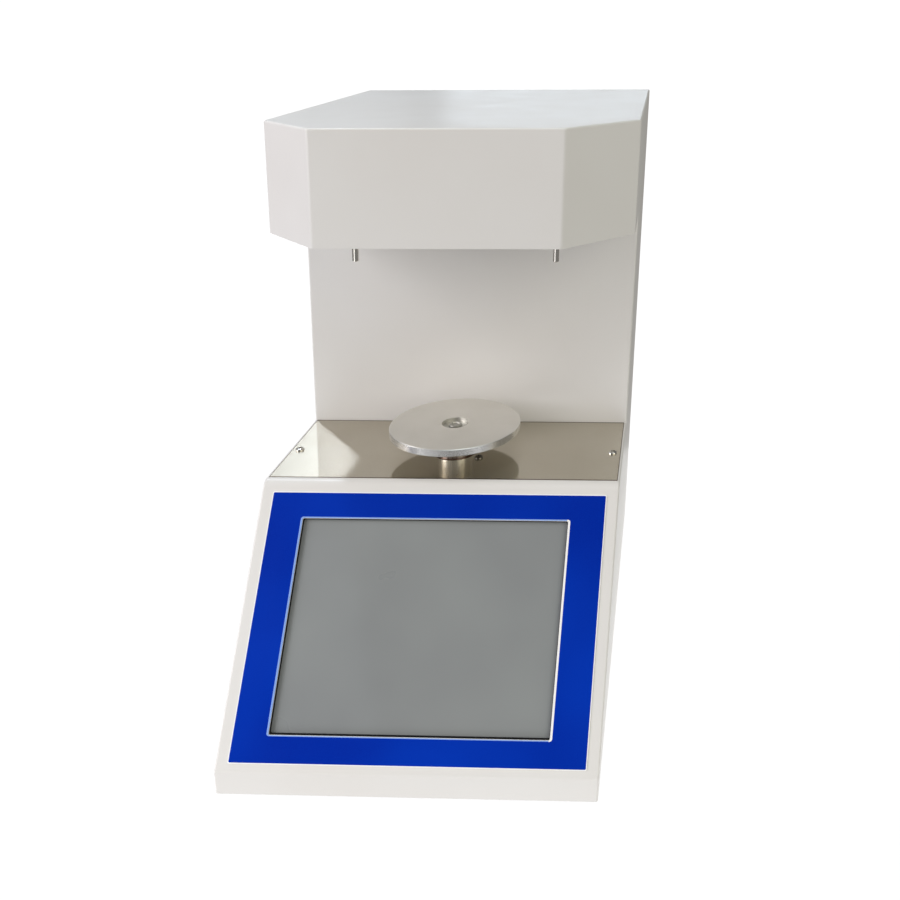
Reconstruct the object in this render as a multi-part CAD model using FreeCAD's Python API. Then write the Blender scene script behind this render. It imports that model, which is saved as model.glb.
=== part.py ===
import FreeCAD, Part
import math
import os

# Surface tensiometer.  A C-shaped sheet-steel body stands on four feet: a base with a slanted
# screen panel and a polished deck, a column behind the deck, and a head that overhangs it.
# A motor-driven screw lifts the sample platform through the deck, and a load cell in the head
# carries the hook that the measuring ring hangs from.
#
# Millimetres.  X runs across the instrument, Y from its front to its back, Z up.  The origin is
# on the bench, under the middle of the overall footprint.

# ---------------------------------------------------------------- driving dimensions
# Body
body_width = 220.0
body_depth = 340.0        # front lip to the outer face of the rear panel
foot_height = 8.0
sheet = 1.5               # steel sheet of the housing
flange = 12.0             # inward flange round each opening of the housing
edge_round = 1.2          # bend seen along the sides and the top of the head
fit_gap = 0.2             # all round a plate that lies in a recess
seat_gap = 0.05           # radial, between a fixed round piece and its hole
running_gap = 0.05        # radial, between a shaft and the hole it moves in
rest_gap = 0.3            # between pieces that nearly touch

# Base
lip_height = 15.3
panel_run = 95.2          # how far the slanted panel leans back
deck_height = 151.3       # from the underside of the case
fold_round = 4.0
shoulder_round = 7.0
deck_sheet = 1.5
deck_lip = 0.3            # flat strip between the shoulder and the deck plate
pan_sheet = 1.5

# Column and head
column_setback = 189.4
head_setback = 86.3
head_face_width = 141.4
chamfer_run = 40.8
head_underside = 299.5    # from the underside of the case
head_rise = 66.6
head_bend = 3.0

# Screen
window_side_margin = 29.0 # from the side of the body to the window
window_height = 122.8
window_drop = 1.4         # below the middle of the slanted panel
window_shift = -0.6       # to the left of the middle
film_thickness = 0.4
film_side_margin = 7.3
film_top_margin = 7.0
film_bottom_margin = 4.6
film_reveal = 0.3         # how far the film's opening stands back from the window
film_corner = 1.0
gasket_thickness = 0.6
gasket_lip = 0.3          # the gasket lines the window this thick at the sides and above
gasket_sill = 1.0         # and this thick below
touch_border = (10.5, 9.1)   # hidden behind the housing, at the sides and above and below
touch_thickness = 1.6
display_thickness = 6.5
display_frame_sheet = 1.2
display_frame_rim = 16.0
stud_radius = 1.5
stud_margin = 5.5         # from the display's side to the stud's axis
stud_row = 50.0           # from the window's middle line to a stud
nut_height = 2.4
nut_radius = 3.1

# Sample platform and its lift
platform_setback = 139.0
platform_height = 20.5    # top of the platform above the deck, lift at the bottom
platform_radius = 42.0
platform_thickness = 5.0
platform_chamfer = 0.5
recess_radius = 8.7
recess_depth = 2.2
post_radius = 11.0
post_bore = 6.0
post_cap = 25.0           # solid length at the top of the post
post_flange_radius = 17.0
post_flange = 4.0
post_bolt_circle = 14.0
lift_travel = 40.0
bush_wall = 2.2
bush_length = 24.0
bush_flange_radius = 24.0
bush_bolt_circle = 19.3
bush_bolt_angle = 28.0    # from the X axis
bush_hole_gap = 0.5       # dark ring between the bush and the deck plate
well_width = 72.0
well_depth = 50.0
well_ledge = 8.0
lift_plate = 8.0
lift_base_plate = 6.0
guide_radius = 4.0
guide_spacing = 60.0
guide_bush_radius = 7.5
guide_bush_length = 24.0
carriage_width = 84.0
carriage_depth = 40.0
carriage_thickness = 14.0
stop_ring_height = 4.0
screw_radius = 4.0
screw_overrun = 4.0
screw_in_motor = 20.0
nut_body_radius = 5.2
nut_flange_radius = 10.0
nut_flange = 3.0
motor_width = 42.3
motor_length = 34.0
motor_corner = 4.0
motor_boss_radius = 11.0
motor_boss = 2.0
motor_bolt_spacing = 31.0
motor_clearance = 6.5     # under the motor
strip_width = 16.0
strip_thickness = 1.6
sensor_width = 12.0
sensor_height = 10.0
sensor_slot = 3.0
flag_thickness = 1.2
flag_reach = 6.0
flag_root = 4.0

# Head: pins, load cell and hook
pin_spacing = 124.0
pin_radius = 2.0
pin_chamfer = 0.5
pin_length = 20.4         # below the head
pin_thread = 1.5          # radius where it goes through the head's floor
pin_nut_radius = 4.0
pin_nut_height = 3.2
hook_hole_radius = 8.0
cell_length = 80.0
cell_section = 12.7
cell_hole_radius = 4.6
cell_hole_spacing = 13.0
cell_overhang = 8.0       # from the stem's axis to the free end
cell_clamp = 22.0         # length of the clamped end
cell_spacer = 6.0
cell_bolt_pitch = 12.0
shelf_height = 18.5       # above the head's underside
shelf_thickness = 8.0
shelf_width = 120.0
shelf_front_gap = 9.0     # from the hook stem's axis to the shelf's front edge
shelf_fillet = 6.0
stem_radius = 2.0
eye_thickness = 2.0
eye_radius = 3.2
eye_hole = 1.5
pivot_height = 8.5        # of the hook's pivot, above the head's underside
wire_radius = 0.8
link_radius = 4.2
shank_length = 6.0
hook_radius = 2.6
stop_arm = 3.0
stop_screw_radius = 2.0

# Chassis and electronics
chassis_width = 140.0
chassis_depth = 60.0
chassis_setback = 230.0
chassis_sheet = 2.0
board_width = 130.0
board_height = 110.0
board_base = 175.0        # above the underside of the case
board_thickness = 1.6
standoff = 12.0
standoff_radius = 3.0
supply_width = 100.0
supply_height = 99.0
supply_depth = 38.0
supply_base = 22.0
amplifier_width = 90.0
amplifier_depth = 56.0
amplifier_standoff = 6.0

# Rear
fitting_round = 2.0       # corners of the inlet's body, and of the port's plate and shell
service_height = 45.0     # of the rear fittings, above the underside of the case
inlet_margin = 50.0       # from the side of the body to the inlet's middle
inlet_plate = (50.0, 27.0)
inlet_plate_thickness = 3.0
inlet_body = (27.0, 19.8)
inlet_cavity = (24.0, 16.6)
inlet_depth = 19.0
inlet_cavity_depth = 17.0
inlet_bolt_spacing = 40.0
inlet_corner = 4.0
blade = (2.0, 4.0)
blade_spacing = 14.0
blade_drop = 2.0
blade_length = 15.0
switch_pitch = 48.0       # from the inlet's middle to the switch's
switch_bezel = (15.0, 21.0)
switch_bezel_thickness = 2.0
switch_body = (12.6, 18.6)
switch_cavity = (10.0, 16.4)
switch_depth = 14.0
rocker_width = 9.4
rocker_half_height = 7.0
rocker_dish = 1.2
rocker_middle = 3.0
rocker_tail = 4.0
rocker_throw = 8.0        # degrees either side of level
rocker_pin_radius = 1.0
rocker_pin = 0.8
port_margin = 70.0        # from the other side of the body to the port's middle
port_plate = (31.0, 12.5)
port_plate_thickness = 0.8
port_shell = (16.6, 8.4)
port_shell_length = 5.5
port_taper = 10.0         # degrees
port_bolt_spacing = 25.0
port_contact_radius = 0.55
port_contact_pitch = 2.77
port_body_depth = 10.0
jack_radius = 2.6
jack_length = 5.0
vent_width = 3.0
vent_length = 40.0
vent_pitch = 7.0
vent_count = 9
vent_height = 230.0

# Feet and screws
foot_radius = 11.0
foot_taper = 1.0
foot_inset = 24.0
foot_recess_radius = 5.5
foot_recess = 4.0
m3_radius = 1.45
m3_hole = 1.6
m3_head_radius = 2.75
m3_head = 1.65
m3_length = 6.0
m4_radius = 1.95
m4_hole = 2.15
m4_head_radius = 3.8
m4_head = 2.2
flat_head_radius = 4.2    # low, wide M4 head of the platform's screw
flat_head = 1.6
head_screw_round = 0.6    # rounding of a button head, as a share of its height

# ---------------------------------------------------------------- places worked out from them
V = FreeCAD.Vector
half = body_width / 2
rear_projection = port_plate_thickness + port_shell_length      # the furthest piece at the back
overall_depth = body_depth + rear_projection
front = -overall_depth / 2
back = front + body_depth
shell_back = back - sheet
case_floor = foot_height
deck = case_floor + deck_height
column_front = front + column_setback
head_bottom = case_floor + head_underside
head_top = head_bottom + head_rise
rim = sheet + flange                  # from an outer face to the edge of an opening
inner_half = half - sheet
window_half = half - rim
inlet_x = half - inlet_margin
switch_x = inlet_x - switch_pitch
port_x = port_margin - half
window_width = body_width - 2 * window_side_margin
touch_size = (window_width + 2 * touch_border[0], window_height + 2 * touch_border[1])

panel_rise = deck_height - lip_height
panel_length = math.hypot(panel_run, panel_rise)
panel_tilt = math.degrees(math.atan2(panel_rise, panel_run))
shoulder_run = shoulder_round * math.tan(math.radians(panel_tilt) / 2)
deck_front = front + panel_run + shoulder_run + deck_lip
ledge_top = deck - deck_sheet         # the deck plate lies on it
lift_top = ledge_top - sheet          # underside of the deck's ledge

axis_y = front + platform_setback     # the lift, the hook and the pins share this line
platform_top = deck + platform_height
motor_top = case_floor + motor_clearance + motor_length
base_plate_top = motor_top + lift_base_plate
carriage_bottom = base_plate_top + stop_ring_height + rest_gap
carriage_top = carriage_bottom + carriage_thickness
lift_plate_size = (well_width + 2 * well_ledge, well_depth + 2 * well_ledge)
guide_points = [(side * guide_spacing / 2, axis_y) for side in (-1, 1)]
bush_radius = post_radius + bush_wall

shelf_bottom = head_bottom + shelf_height
shelf_top = shelf_bottom + shelf_thickness
cell_bottom = shelf_top + cell_spacer
pivot_z = head_bottom + pivot_height
chassis_front = front + chassis_setback
chassis_back = chassis_front + chassis_depth
service_z = case_floor + service_height

# ---------------------------------------------------------------- shape helpers
VIEWS = {
    "side": (lambda a, b: V(0, a, b), V(1, 0, 0)),
    "rear": (lambda a, b: V(a, 0, b), V(0, 1, 0)),
    "plan": (lambda a, b: V(a, b, 0), V(0, 0, 1)),
}


def block(x, y, z):
    """Box from its (low, high) pairs along X, Y and Z."""
    return Part.makeBox(x[1] - x[0], y[1] - y[0], z[1] - z[0], V(x[0], y[0], z[0]))


def rectangle(size, centre=(0, 0)):
    """Corner points of a rectangle."""
    a, b = size[0] / 2, size[1] / 2
    return [(centre[0] + p * a, centre[1] + q * b) for p, q in ((-1, -1), (1, -1), (1, 1), (-1, 1))]


def outline(points, radii, lift):
    """Closed wire through the points, with an arc of its own radius at each corner."""
    corners = []
    for i, radius in enumerate(radii):
        here, before, after = (V(*points[j % len(points)], 0) for j in (i, i - 1, i + 1))
        to_before = (before - here).normalize()
        to_after = (after - here).normalize()
        half_angle = to_before.getAngle(to_after) / 2
        bisector = (to_before + to_after).normalize()
        reach = radius / math.tan(half_angle)
        centre = here + bisector * (radius / math.sin(half_angle))
        corners.append((here + to_before * reach, centre - bisector * radius, here + to_after * reach))
    edges = []
    for i, (start, middle, end) in enumerate(corners):
        leave = corners[i - 1][2]
        if (start - leave).Length > 1e-6:
            edges.append(Part.makeLine(lift(leave.x, leave.y), lift(start.x, start.y)))
        if radii[i] > 0:
            arc = [lift(p.x, p.y) for p in (start, middle, end)]
            edges.append(Part.Arc(*arc).toShape())
    return Part.Wire(edges)


def prism(view, points, radii, low, high, inset=0):
    """Solid between low and high along the view's direction, its outline moved in by inset."""
    lift, direction = VIEWS[view]
    face = Part.Face(outline(points, radii, lift))
    if inset:
        face = face.makeOffset2D(-inset, join=2)
    face.translate(direction * low)
    return face.extrude(direction * (high - low))


def plate(size, corner, low, high, view="plan", centre=(0, 0)):
    """Rectangular plate with rounded corners."""
    return prism(view, rectangle(size, centre), [corner] * 4, low, high)


def cylinders(points, radius, low, high, view="plan"):
    """One cylinder from low to high at each point of the view."""
    lift, direction = VIEWS[view]
    return [Part.makeCylinder(radius, high - low, lift(*p) + direction * low, direction) for p in points]


def tubes(points, radius, bore, low, high, view="plan"):
    """One tube from low to high at each point of the view."""
    outer = cylinders(points, radius, low, high, view)
    inner = cylinders(points, bore, low, high, view)
    return [a.cut(b) for a, b in zip(outer, inner)]


def turned(profile, centre=(0, 0)):
    """Solid turned about a vertical axis, from (radius, height) points."""
    wire = Part.makePolygon([V(r, 0, z) for r, z in profile + profile[:1]])
    solid = Part.Face(wire).revolve(V(0, 0, 0), V(0, 0, 1), 360)
    solid.translate(V(*centre, 0))
    return solid


def screws(points, seat, length, size="m3", view="plan", side=1, shown=True):
    """Button-head screws.  seat is the face under the heads, and side tells which way they point."""
    head_radius, head, radius = {
        "m3": (m3_head_radius, m3_head, m3_radius),
        "m4": (m4_head_radius, m4_head, m4_radius),
        "m4 flat": (flat_head_radius, flat_head, m4_radius),
    }[size]
    lift, direction = VIEWS[view]
    solids = []
    for point in points:
        at = lift(*point) + direction * seat
        cap = Part.makeCylinder(head_radius, head, at, direction * side)
        if shown:
            far = at + direction * (side * head)
            rims = [e for e in cap.Edges if e.Closed and e.CenterOfMass.distanceToPoint(far) < 0.01]
            cap = cap.makeFillet(head * head_screw_round, rims)
        shank = Part.makeCylinder(radius, length, at, direction * -side)
        solids.append(cap.fuse(shank).removeSplitter())
    return solids


def group(solids):
    """Separate solids that share one node."""
    return Part.makeCompound(solids)


def on_panel(shape):
    """Move a shape from panel coordinates: X across, Y up the slant from its middle, Z outward."""
    middle = V(0, front + panel_run / 2, case_floor + lip_height + panel_rise / 2)
    place = FreeCAD.Placement(middle, FreeCAD.Rotation(V(1, 0, 0), panel_tilt))
    return shape.transformed(place.Matrix)


def ring_points(radius, angles, centre=(0, 0)):
    """Points on a circle at the given angles in degrees."""
    turns = [math.radians(a) for a in angles]
    return [(centre[0] + radius * math.cos(t), centre[1] + radius * math.sin(t)) for t in turns]


# ---------------------------------------------------------------- shared hole patterns
deck_screw_points = [(side * (inner_half - m3_head_radius * 2), axis_y) for side in (-1, 1)]
bush_screw_points = ring_points(
    bush_bolt_circle, [half_turn - bush_bolt_angle for half_turn in (0, 180)], (0, axis_y))
ledge_screw_points = [
    (p * (well_width + well_ledge) / 2, axis_y + q * (well_depth + well_ledge) / 2)
    for p in (-1, 1) for q in (-1, 1)]
flange_line = sheet + flange / 2
pan_screw_points = [
    (side * (half - flange_line), y)
    for side in (-1, 1)
    for y in (front + 3 * flange, (front + shell_back) / 2, shell_back - 3 * flange)]
foot_points = [
    (side * (half - foot_inset), y) for side in (-1, 1) for y in (front + foot_inset, back - foot_inset)]
rear_screw_points = [
    (side * (half - flange_line), z)
    for side in (-1, 1)
    for z in (case_floor + 3 * flange, (deck + case_floor) * 0.75, (deck + head_bottom) / 2,
              (head_bottom + head_top) / 2)]
floor_screw_points = [
    (side * (head_face_width / 2 - flange), y)
    for side in (-1, 1) for y in (front + head_setback + flange_line, column_front - flange / 2)]
pin_points = [(side * pin_spacing / 2, axis_y) for side in (-1, 1)]
stud_points = [
    (p * (touch_size[0] / 2 + stud_margin), q * stud_row - window_drop) for p in (-1, 1) for q in (-1, 1)]
inlet_bolts = [(inlet_x + side * inlet_bolt_spacing / 2, service_z) for side in (-1, 1)]
port_bolts = [(port_x + side * port_bolt_spacing / 2, service_z) for side in (-1, 1)]
post_screw_points = ring_points(post_bolt_circle, range(45, 360, 90), (0, axis_y))
motor_screw_points = rectangle((motor_bolt_spacing, motor_bolt_spacing), (0, axis_y))


# ---------------------------------------------------------------- housing
def base_housing():
    """Welded sheet shell: front lip, slanted panel, shoulder, deck ledge and low sides."""
    side = [(front, case_floor), (front, case_floor + lip_height), (front + panel_run, deck),
            (shell_back, deck), (shell_back, case_floor)]
    bends = [0, fold_round, shoulder_round, 0, 0]
    shell = prism("side", side, bends, -half, half)
    bent = [e for e in shell.Edges
            if abs(e.CenterOfMass.x) > half - 0.01
            and e.CenterOfMass.z > case_floor + 0.01 and e.CenterOfMass.y < shell_back - 0.01]
    shell = shell.makeFillet(edge_round, bent)
    shell = shell.fuse(block((-half, half), (column_front, shell_back), (case_floor, deck)))
    cavity = prism("side", side, bends, -inner_half, inner_half, inset=sheet)
    cavity = cavity.common(block(
        (-half, half), (front, shell_back), (case_floor + pan_sheet + sheet, lift_top)))
    studs = [on_panel(s) for s in cylinders(
        stud_points, stud_radius, -sheet - gasket_thickness - touch_thickness - display_thickness
        - display_frame_sheet - nut_height - stud_radius, -sheet / 2)]
    shell = shell.cut(cavity).fuse(studs).removeSplitter()
    deep = 2 * sheet + deck_sheet + pan_sheet
    openings = [
        block((-inner_half, inner_half), (front + sheet, shell_back - sheet),
              (case_floor - deep, case_floor + pan_sheet)),
        block((-window_half, window_half), (front + rim, shell_back - rim),
              (case_floor - deep, case_floor + deep)),
        block((-inner_half, inner_half), (deck_front, column_front), (ledge_top, deck + deep)),
        block((-well_width / 2, well_width / 2), (axis_y - well_depth / 2, axis_y + well_depth / 2),
              (deck - deep, deck + deep)),
        block((-window_half, window_half), (column_front + rim, shell_back - rim),
              (deck - deep, deck + deep)),
        block((-window_half, window_half), (shell_back - deep, shell_back + deep),
              (case_floor + pan_sheet + rim, lift_top - flange)),
        on_panel(plate((window_width, window_height), film_corner, -deep, deep,
                       centre=(window_shift, -window_drop))),
    ]
    holes = cylinders(deck_screw_points, m3_hole, deck - deep, deck + deep)
    holes += cylinders(ledge_screw_points, m3_hole, deck - deep, ledge_top)
    holes += cylinders(pan_screw_points, m3_hole, case_floor - deep, case_floor + deep)
    holes += cylinders(rear_screw_points[0:2] + rear_screw_points[4:6], m3_hole,
                       shell_back - deep, shell_back + deep, "rear")
    return shell.cut(openings + holes)


def column_housing():
    """Sheet column between the deck and the head, open behind."""
    plan = [(-half, column_front), (half, column_front), (half, shell_back), (-half, shell_back)]
    shell = prism("plan", plan, [edge_round, edge_round, 0, 0], deck, head_bottom)
    cavity = block((-inner_half, inner_half), (column_front + sheet, shell_back - sheet),
                   (deck + sheet, head_bottom - sheet))
    through = block((-window_half, window_half), (column_front + rim, shell_back - rim),
                    (deck, head_bottom))
    behind = block((-window_half, window_half), (shell_back - sheet, shell_back),
                   (deck + rim, head_bottom - rim))
    holes = cylinders([rear_screw_points[2], rear_screw_points[6]], m3_hole,
                      shell_back - sheet, shell_back, "rear")
    return shell.cut([cavity, through, behind] + holes)


def head_plan():
    """Plan of the head: a flat face between two chamfers, then straight sides."""
    face = head_face_width / 2
    face_y = front + head_setback
    chamfer_y = face_y + chamfer_run
    return [(-face, face_y), (face, face_y), (half, chamfer_y), (half, shell_back),
            (-half, shell_back), (-half, chamfer_y)]


HEAD_BENDS = [head_bend, head_bend, head_bend, 0, 0, head_bend]


def head_cover():
    """Folded cover of the head, with the recess that its floor plate lies in."""
    shell = prism("plan", head_plan(), HEAD_BENDS, head_bottom, head_top)
    top_edges = [e for e in shell.Edges
                 if e.BoundBox.ZMin > head_top - 0.01 and e.CenterOfMass.y < shell_back - 0.01]
    shell = shell.makeFillet(edge_round, top_edges)
    cavity = prism("plan", head_plan(), HEAD_BENDS, head_bottom + 2 * sheet, head_top - sheet, inset=sheet)
    recess = prism("plan", head_plan(), HEAD_BENDS, head_bottom, head_bottom + sheet, inset=sheet)
    recess = recess.common(block((-half, half), (front, column_front), (head_bottom, head_top)))
    wide = prism("plan", head_plan(), HEAD_BENDS, head_bottom, head_bottom + 2 * sheet, inset=rim)
    ahead = wide.common(block((-half, half), (front, column_front - flange), (head_bottom, head_top)))
    above_column = block((-window_half, window_half), (column_front + rim, shell_back - rim),
                         (head_bottom, head_bottom + 2 * sheet))
    behind = block((-window_half, window_half), (shell_back - sheet, shell_back),
                   (head_bottom + sheet + rim, head_top - rim))
    holes = cylinders(floor_screw_points, m3_hole, head_bottom, head_bottom + 2 * sheet)
    holes += cylinders([rear_screw_points[3], rear_screw_points[7]], m3_hole,
                       shell_back - sheet, shell_back, "rear")
    return shell.cut([cavity, recess, ahead, above_column, behind] + holes)


def head_floor():
    """Plate that closes the head's underside, with the hook's hole and the pins' holes."""
    floor = prism("plan", head_plan(), HEAD_BENDS, head_bottom, head_bottom + sheet, inset=sheet + fit_gap)
    floor = floor.common(block((-half, half), (front, column_front - fit_gap), (head_bottom, head_top)))
    holes = cylinders(floor_screw_points, m3_hole, head_bottom, head_bottom + sheet)
    holes += cylinders([(0, axis_y)], hook_hole_radius, head_bottom, head_bottom + sheet)
    holes += cylinders(pin_points, pin_thread + seat_gap, head_bottom, head_bottom + sheet)
    return floor.cut(holes)


def vents(centre, view, low, high):
    """Row of round-ended slots that point up or back."""
    first = centre[0] - vent_pitch * (vent_count - 1) / 2
    return [plate((vent_width, vent_length), vent_width * 0.49, low, high, view,
                  (first + i * vent_pitch, centre[1])) for i in range(vent_count)]


def base_pan():
    """Bottom plate, flush with the housing's lower edge."""
    size = (2 * (inner_half - fit_gap), shell_back - front - 2 * (sheet + fit_gap))
    centre = (0, (front + shell_back) / 2)
    pan = plate(size, edge_round, case_floor, case_floor + pan_sheet, centre=centre)
    holes = cylinders(pan_screw_points, m3_hole, case_floor, case_floor + pan_sheet)
    holes += cylinders(foot_points, m4_hole, case_floor, case_floor + pan_sheet)
    slots = vents((0, chassis_front - vent_length), "plan", case_floor, case_floor + pan_sheet)
    return pan.cut(holes + slots)


def rear_panel():
    """Flat panel over the whole back, with the sockets' openings and the vents."""
    corners = [(-half, case_floor), (half, case_floor), (half, head_top), (-half, head_top)]
    panel = prism("rear", corners, [0, 0, edge_round, edge_round], shell_back, back)
    holes = cylinders(rear_screw_points, m3_hole, shell_back, back, "rear")
    holes += cylinders(inlet_bolts + port_bolts, m3_hole, shell_back, back, "rear")
    for x, size, corner in ((inlet_x, inlet_body, fitting_round), (switch_x, switch_body, fit_gap),
                            (port_x, port_shell, fitting_round)):
        wide = (size[0] + 2 * fit_gap, size[1] + 2 * fit_gap)
        holes.append(plate(wide, corner, shell_back, back, "rear", (x, service_z)))
    slots = vents((0, case_floor + vent_height), "rear", shell_back, back)
    return panel.cut(holes + slots)


def feet():
    """Four tapered rubber feet with a recess for the screw's head."""
    profile = [(m4_hole, foot_recess), (foot_recess_radius, foot_recess), (foot_recess_radius, 0),
               (foot_radius - foot_taper, 0), (foot_radius, foot_height), (m4_hole, foot_height)]
    return group([turned(profile, point) for point in foot_points])


def housing():
    """Every piece of the case, with its screws."""
    through_flange = pan_sheet + sheet + m3_radius
    return {
        "base_housing": base_housing(),
        "column_housing": column_housing(),
        "head_cover": head_cover(),
        "head_floor": head_floor(),
        "head_floor_screws": group(screws(floor_screw_points, head_bottom, m3_length, side=-1)),
        "base_pan": base_pan(),
        "pan_screws": group(screws(pan_screw_points, case_floor, through_flange, side=-1)),
        "rubber_feet": feet(),
        "foot_screws": group(screws(foot_points, foot_recess, foot_height - foot_recess + m3_length,
                                    "m4", side=-1, shown=False)),
        "rear_panel": rear_panel(),
        "rear_screws": group(screws(rear_screw_points, back, m3_length, view="rear")),
        "deck_plate": deck_plate(),
        "deck_screws": group(screws(deck_screw_points, deck, m3_length)),
    }


def deck_plate():
    """Polished plate let into the deck, with the hole that the lift's bush looks through."""
    size = (2 * (inner_half - fit_gap), column_front - deck_front - 2 * fit_gap)
    deck_middle = (0, (column_front + deck_front) / 2)
    top = plate(size, edge_round / 2, ledge_top, deck, centre=deck_middle)
    holes = cylinders(deck_screw_points + bush_screw_points, m3_hole, ledge_top, deck)
    holes += cylinders([(0, axis_y)], bush_radius + bush_hole_gap, ledge_top, deck)
    return top.cut(holes)


# ---------------------------------------------------------------- screen
def screen():
    """Film, gasket, touch panel, display and the frame that clamps them from behind."""
    touch_front = -sheet - gasket_thickness
    touch_back = touch_front - touch_thickness
    display_back = touch_back - display_thickness
    frame_back = display_back - display_frame_sheet
    film_width = body_width - 2 * film_side_margin
    film_height = panel_length - film_top_margin - film_bottom_margin
    film_middle = (0, (film_bottom_margin - film_top_margin) / 2)
    film = plate((film_width, film_height), film_corner, 0, film_thickness, centre=film_middle)
    middle = (0, -window_drop)
    opening = (window_shift, -window_drop)
    film_window = (window_width + 2 * film_reveal, window_height + 2 * film_reveal)
    film = film.cut(plate(film_window, film_corner, 0, film_thickness, centre=opening))
    lip = (window_width - 2 * seat_gap, window_height - 2 * seat_gap)
    seen = (window_width - 2 * gasket_lip, window_height - gasket_lip - gasket_sill)
    seen_middle = (window_shift, (gasket_sill - gasket_lip) / 2 - window_drop)
    gasket = plate(touch_size, film_corner, touch_front, -sheet, centre=middle)
    gasket = gasket.fuse(plate(lip, film_corner, -sheet, 0, centre=opening))
    gasket = gasket.cut(plate(seen, film_corner, touch_front, 0, centre=seen_middle))
    glass = plate(touch_size, film_corner, touch_back, touch_front, centre=middle)
    module = plate(touch_size, film_corner, display_back, touch_back, centre=middle)
    connector = plate((4 * display_thickness, display_thickness), 0, frame_back, display_back,
                      centre=middle)
    ear = 2 * (stud_margin + 2 * nut_radius)
    frame = plate((touch_size[0] + ear, touch_size[1]), nut_radius, frame_back, display_back, centre=middle)
    frame = frame.cut([
        plate([side - 2 * display_frame_rim for side in touch_size], nut_radius, frame_back, display_back,
              centre=middle),
        *cylinders(stud_points, stud_radius + seat_gap, frame_back, display_back)])
    nuts = []
    for x, y in stud_points:
        corners = ring_points(nut_radius, range(0, 360, 60), (x, y))
        nuts.append(prism("plan", corners, [0] * 6, frame_back - nut_height, frame_back))
    nuts = [n.cut(cylinders(stud_points, stud_radius + seat_gap, frame_back - nut_height, frame_back))
            for n in nuts]
    return {
        "panel_film": on_panel(film),
        "screen_gasket": on_panel(gasket),
        "touch_panel": on_panel(glass),
        "display_module": on_panel(module.fuse(connector).removeSplitter()),
        "display_frame": on_panel(frame),
        "display_nuts": group([on_panel(n) for n in nuts]),
    }


# ---------------------------------------------------------------- platform and lift
def post_bush():
    """Flanged bronze bush that guides the post through the deck."""
    low = lift_top - (bush_length - sheet - deck_sheet)
    bush = turned([(post_radius + running_gap, low), (bush_radius, low), (bush_radius, lift_top),
                   (bush_flange_radius, lift_top), (bush_flange_radius, ledge_top),
                   (bush_radius, ledge_top), (bush_radius, deck), (post_radius + running_gap, deck)],
                  (0, axis_y))
    return bush.cut(cylinders(bush_screw_points, m3_hole, lift_top, ledge_top))


def moving_lift():
    """Everything that rises with the platform."""
    under = platform_top - platform_thickness
    edge = platform_radius
    disc = turned([(m4_hole, under), (edge - platform_chamfer, under), (edge, under + platform_chamfer),
                   (edge, platform_top - platform_chamfer), (edge - platform_chamfer, platform_top),
                   (recess_radius, platform_top), (recess_radius, platform_top - recess_depth),
                   (m4_hole, platform_top - recess_depth)], (0, axis_y))
    post = turned([(post_bore, carriage_top), (post_flange_radius, carriage_top),
                   (post_flange_radius, carriage_top + post_flange),
                   (post_radius, carriage_top + post_flange), (post_radius, under),
                   (m4_hole, under), (m4_hole, under - post_cap / 2), (0, under - post_cap / 2),
                   (0, under - post_cap), (post_bore, under - post_cap)], (0, axis_y))
    post = post.cut(cylinders(post_screw_points, m3_hole, carriage_top, carriage_top + post_flange))
    carriage = plate((carriage_width, carriage_depth), guide_radius, carriage_bottom, carriage_top,
                     centre=(0, axis_y))
    flag_y = (axis_y + carriage_depth / 2 - flag_root, axis_y + carriage_depth / 2 + flag_reach)
    flag_z = ((carriage_bottom + carriage_top) / 2 - sensor_height / 2,
              (carriage_bottom + carriage_top) / 2 + sensor_height / 2)
    flag = block((-flag_thickness / 2, flag_thickness / 2), flag_y, flag_z)
    holes = cylinders(guide_points, guide_bush_radius + seat_gap, carriage_bottom, carriage_top)
    holes += cylinders([(0, axis_y)], nut_body_radius + seat_gap, carriage_bottom, carriage_top)
    holes += cylinders(post_screw_points, m3_radius + seat_gap, carriage_top - m3_length, carriage_top)
    nut = turned([(screw_radius + running_gap, carriage_bottom - nut_flange),
                  (nut_flange_radius, carriage_bottom - nut_flange),
                  (nut_flange_radius, carriage_bottom), (nut_body_radius, carriage_bottom),
                  (nut_body_radius, carriage_top), (screw_radius + running_gap, carriage_top)],
                 (0, axis_y))
    head_seat = platform_top - recess_depth
    return {
        "platform_disc": disc,
        "platform_screw": group(screws([(0, axis_y)], head_seat, platform_thickness + m3_length,
                                       "m4 flat")),
        "platform_post": post,
        "post_screws": group(screws(post_screw_points, carriage_top + post_flange,
                                    post_flange + m3_length / 2, shown=False)),
        "lift_carriage": carriage.cut(holes + [flag]),
        "guide_bushes": group(tubes(guide_points, guide_bush_radius, guide_radius + running_gap,
                                    carriage_bottom, carriage_bottom + guide_bush_length)),
        "lift_nut": nut,
        "sensor_flag": flag,
    }


def lift_sensors():
    """Circuit strip between the lift's plates, with a slotted sensor at each end of the travel."""
    strip_y = axis_y + carriage_depth / 2 + rest_gap + flag_reach + sensor_slot / 2
    strip = block((-strip_width / 2, strip_width / 2), (strip_y, strip_y + strip_thickness),
                  (base_plate_top, lift_top - lift_plate))
    level = (carriage_bottom + carriage_top) / 2
    sensors = []
    for z in (level, level + lift_travel):
        body = block((-sensor_width / 2, sensor_width / 2),
                     (axis_y + carriage_depth / 2 + rest_gap, strip_y),
                     (z - sensor_height / 2, z + sensor_height / 2))
        slot = block((-sensor_slot / 2, sensor_slot / 2),
                     (axis_y + carriage_depth / 2, strip_y - sensor_slot / 2 + rest_gap),
                     (z - sensor_height / 2, z + sensor_height / 2))
        sensors.append(body.cut(slot))
    return {"sensor_strip": strip, "end_sensors": group(sensors)}


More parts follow.
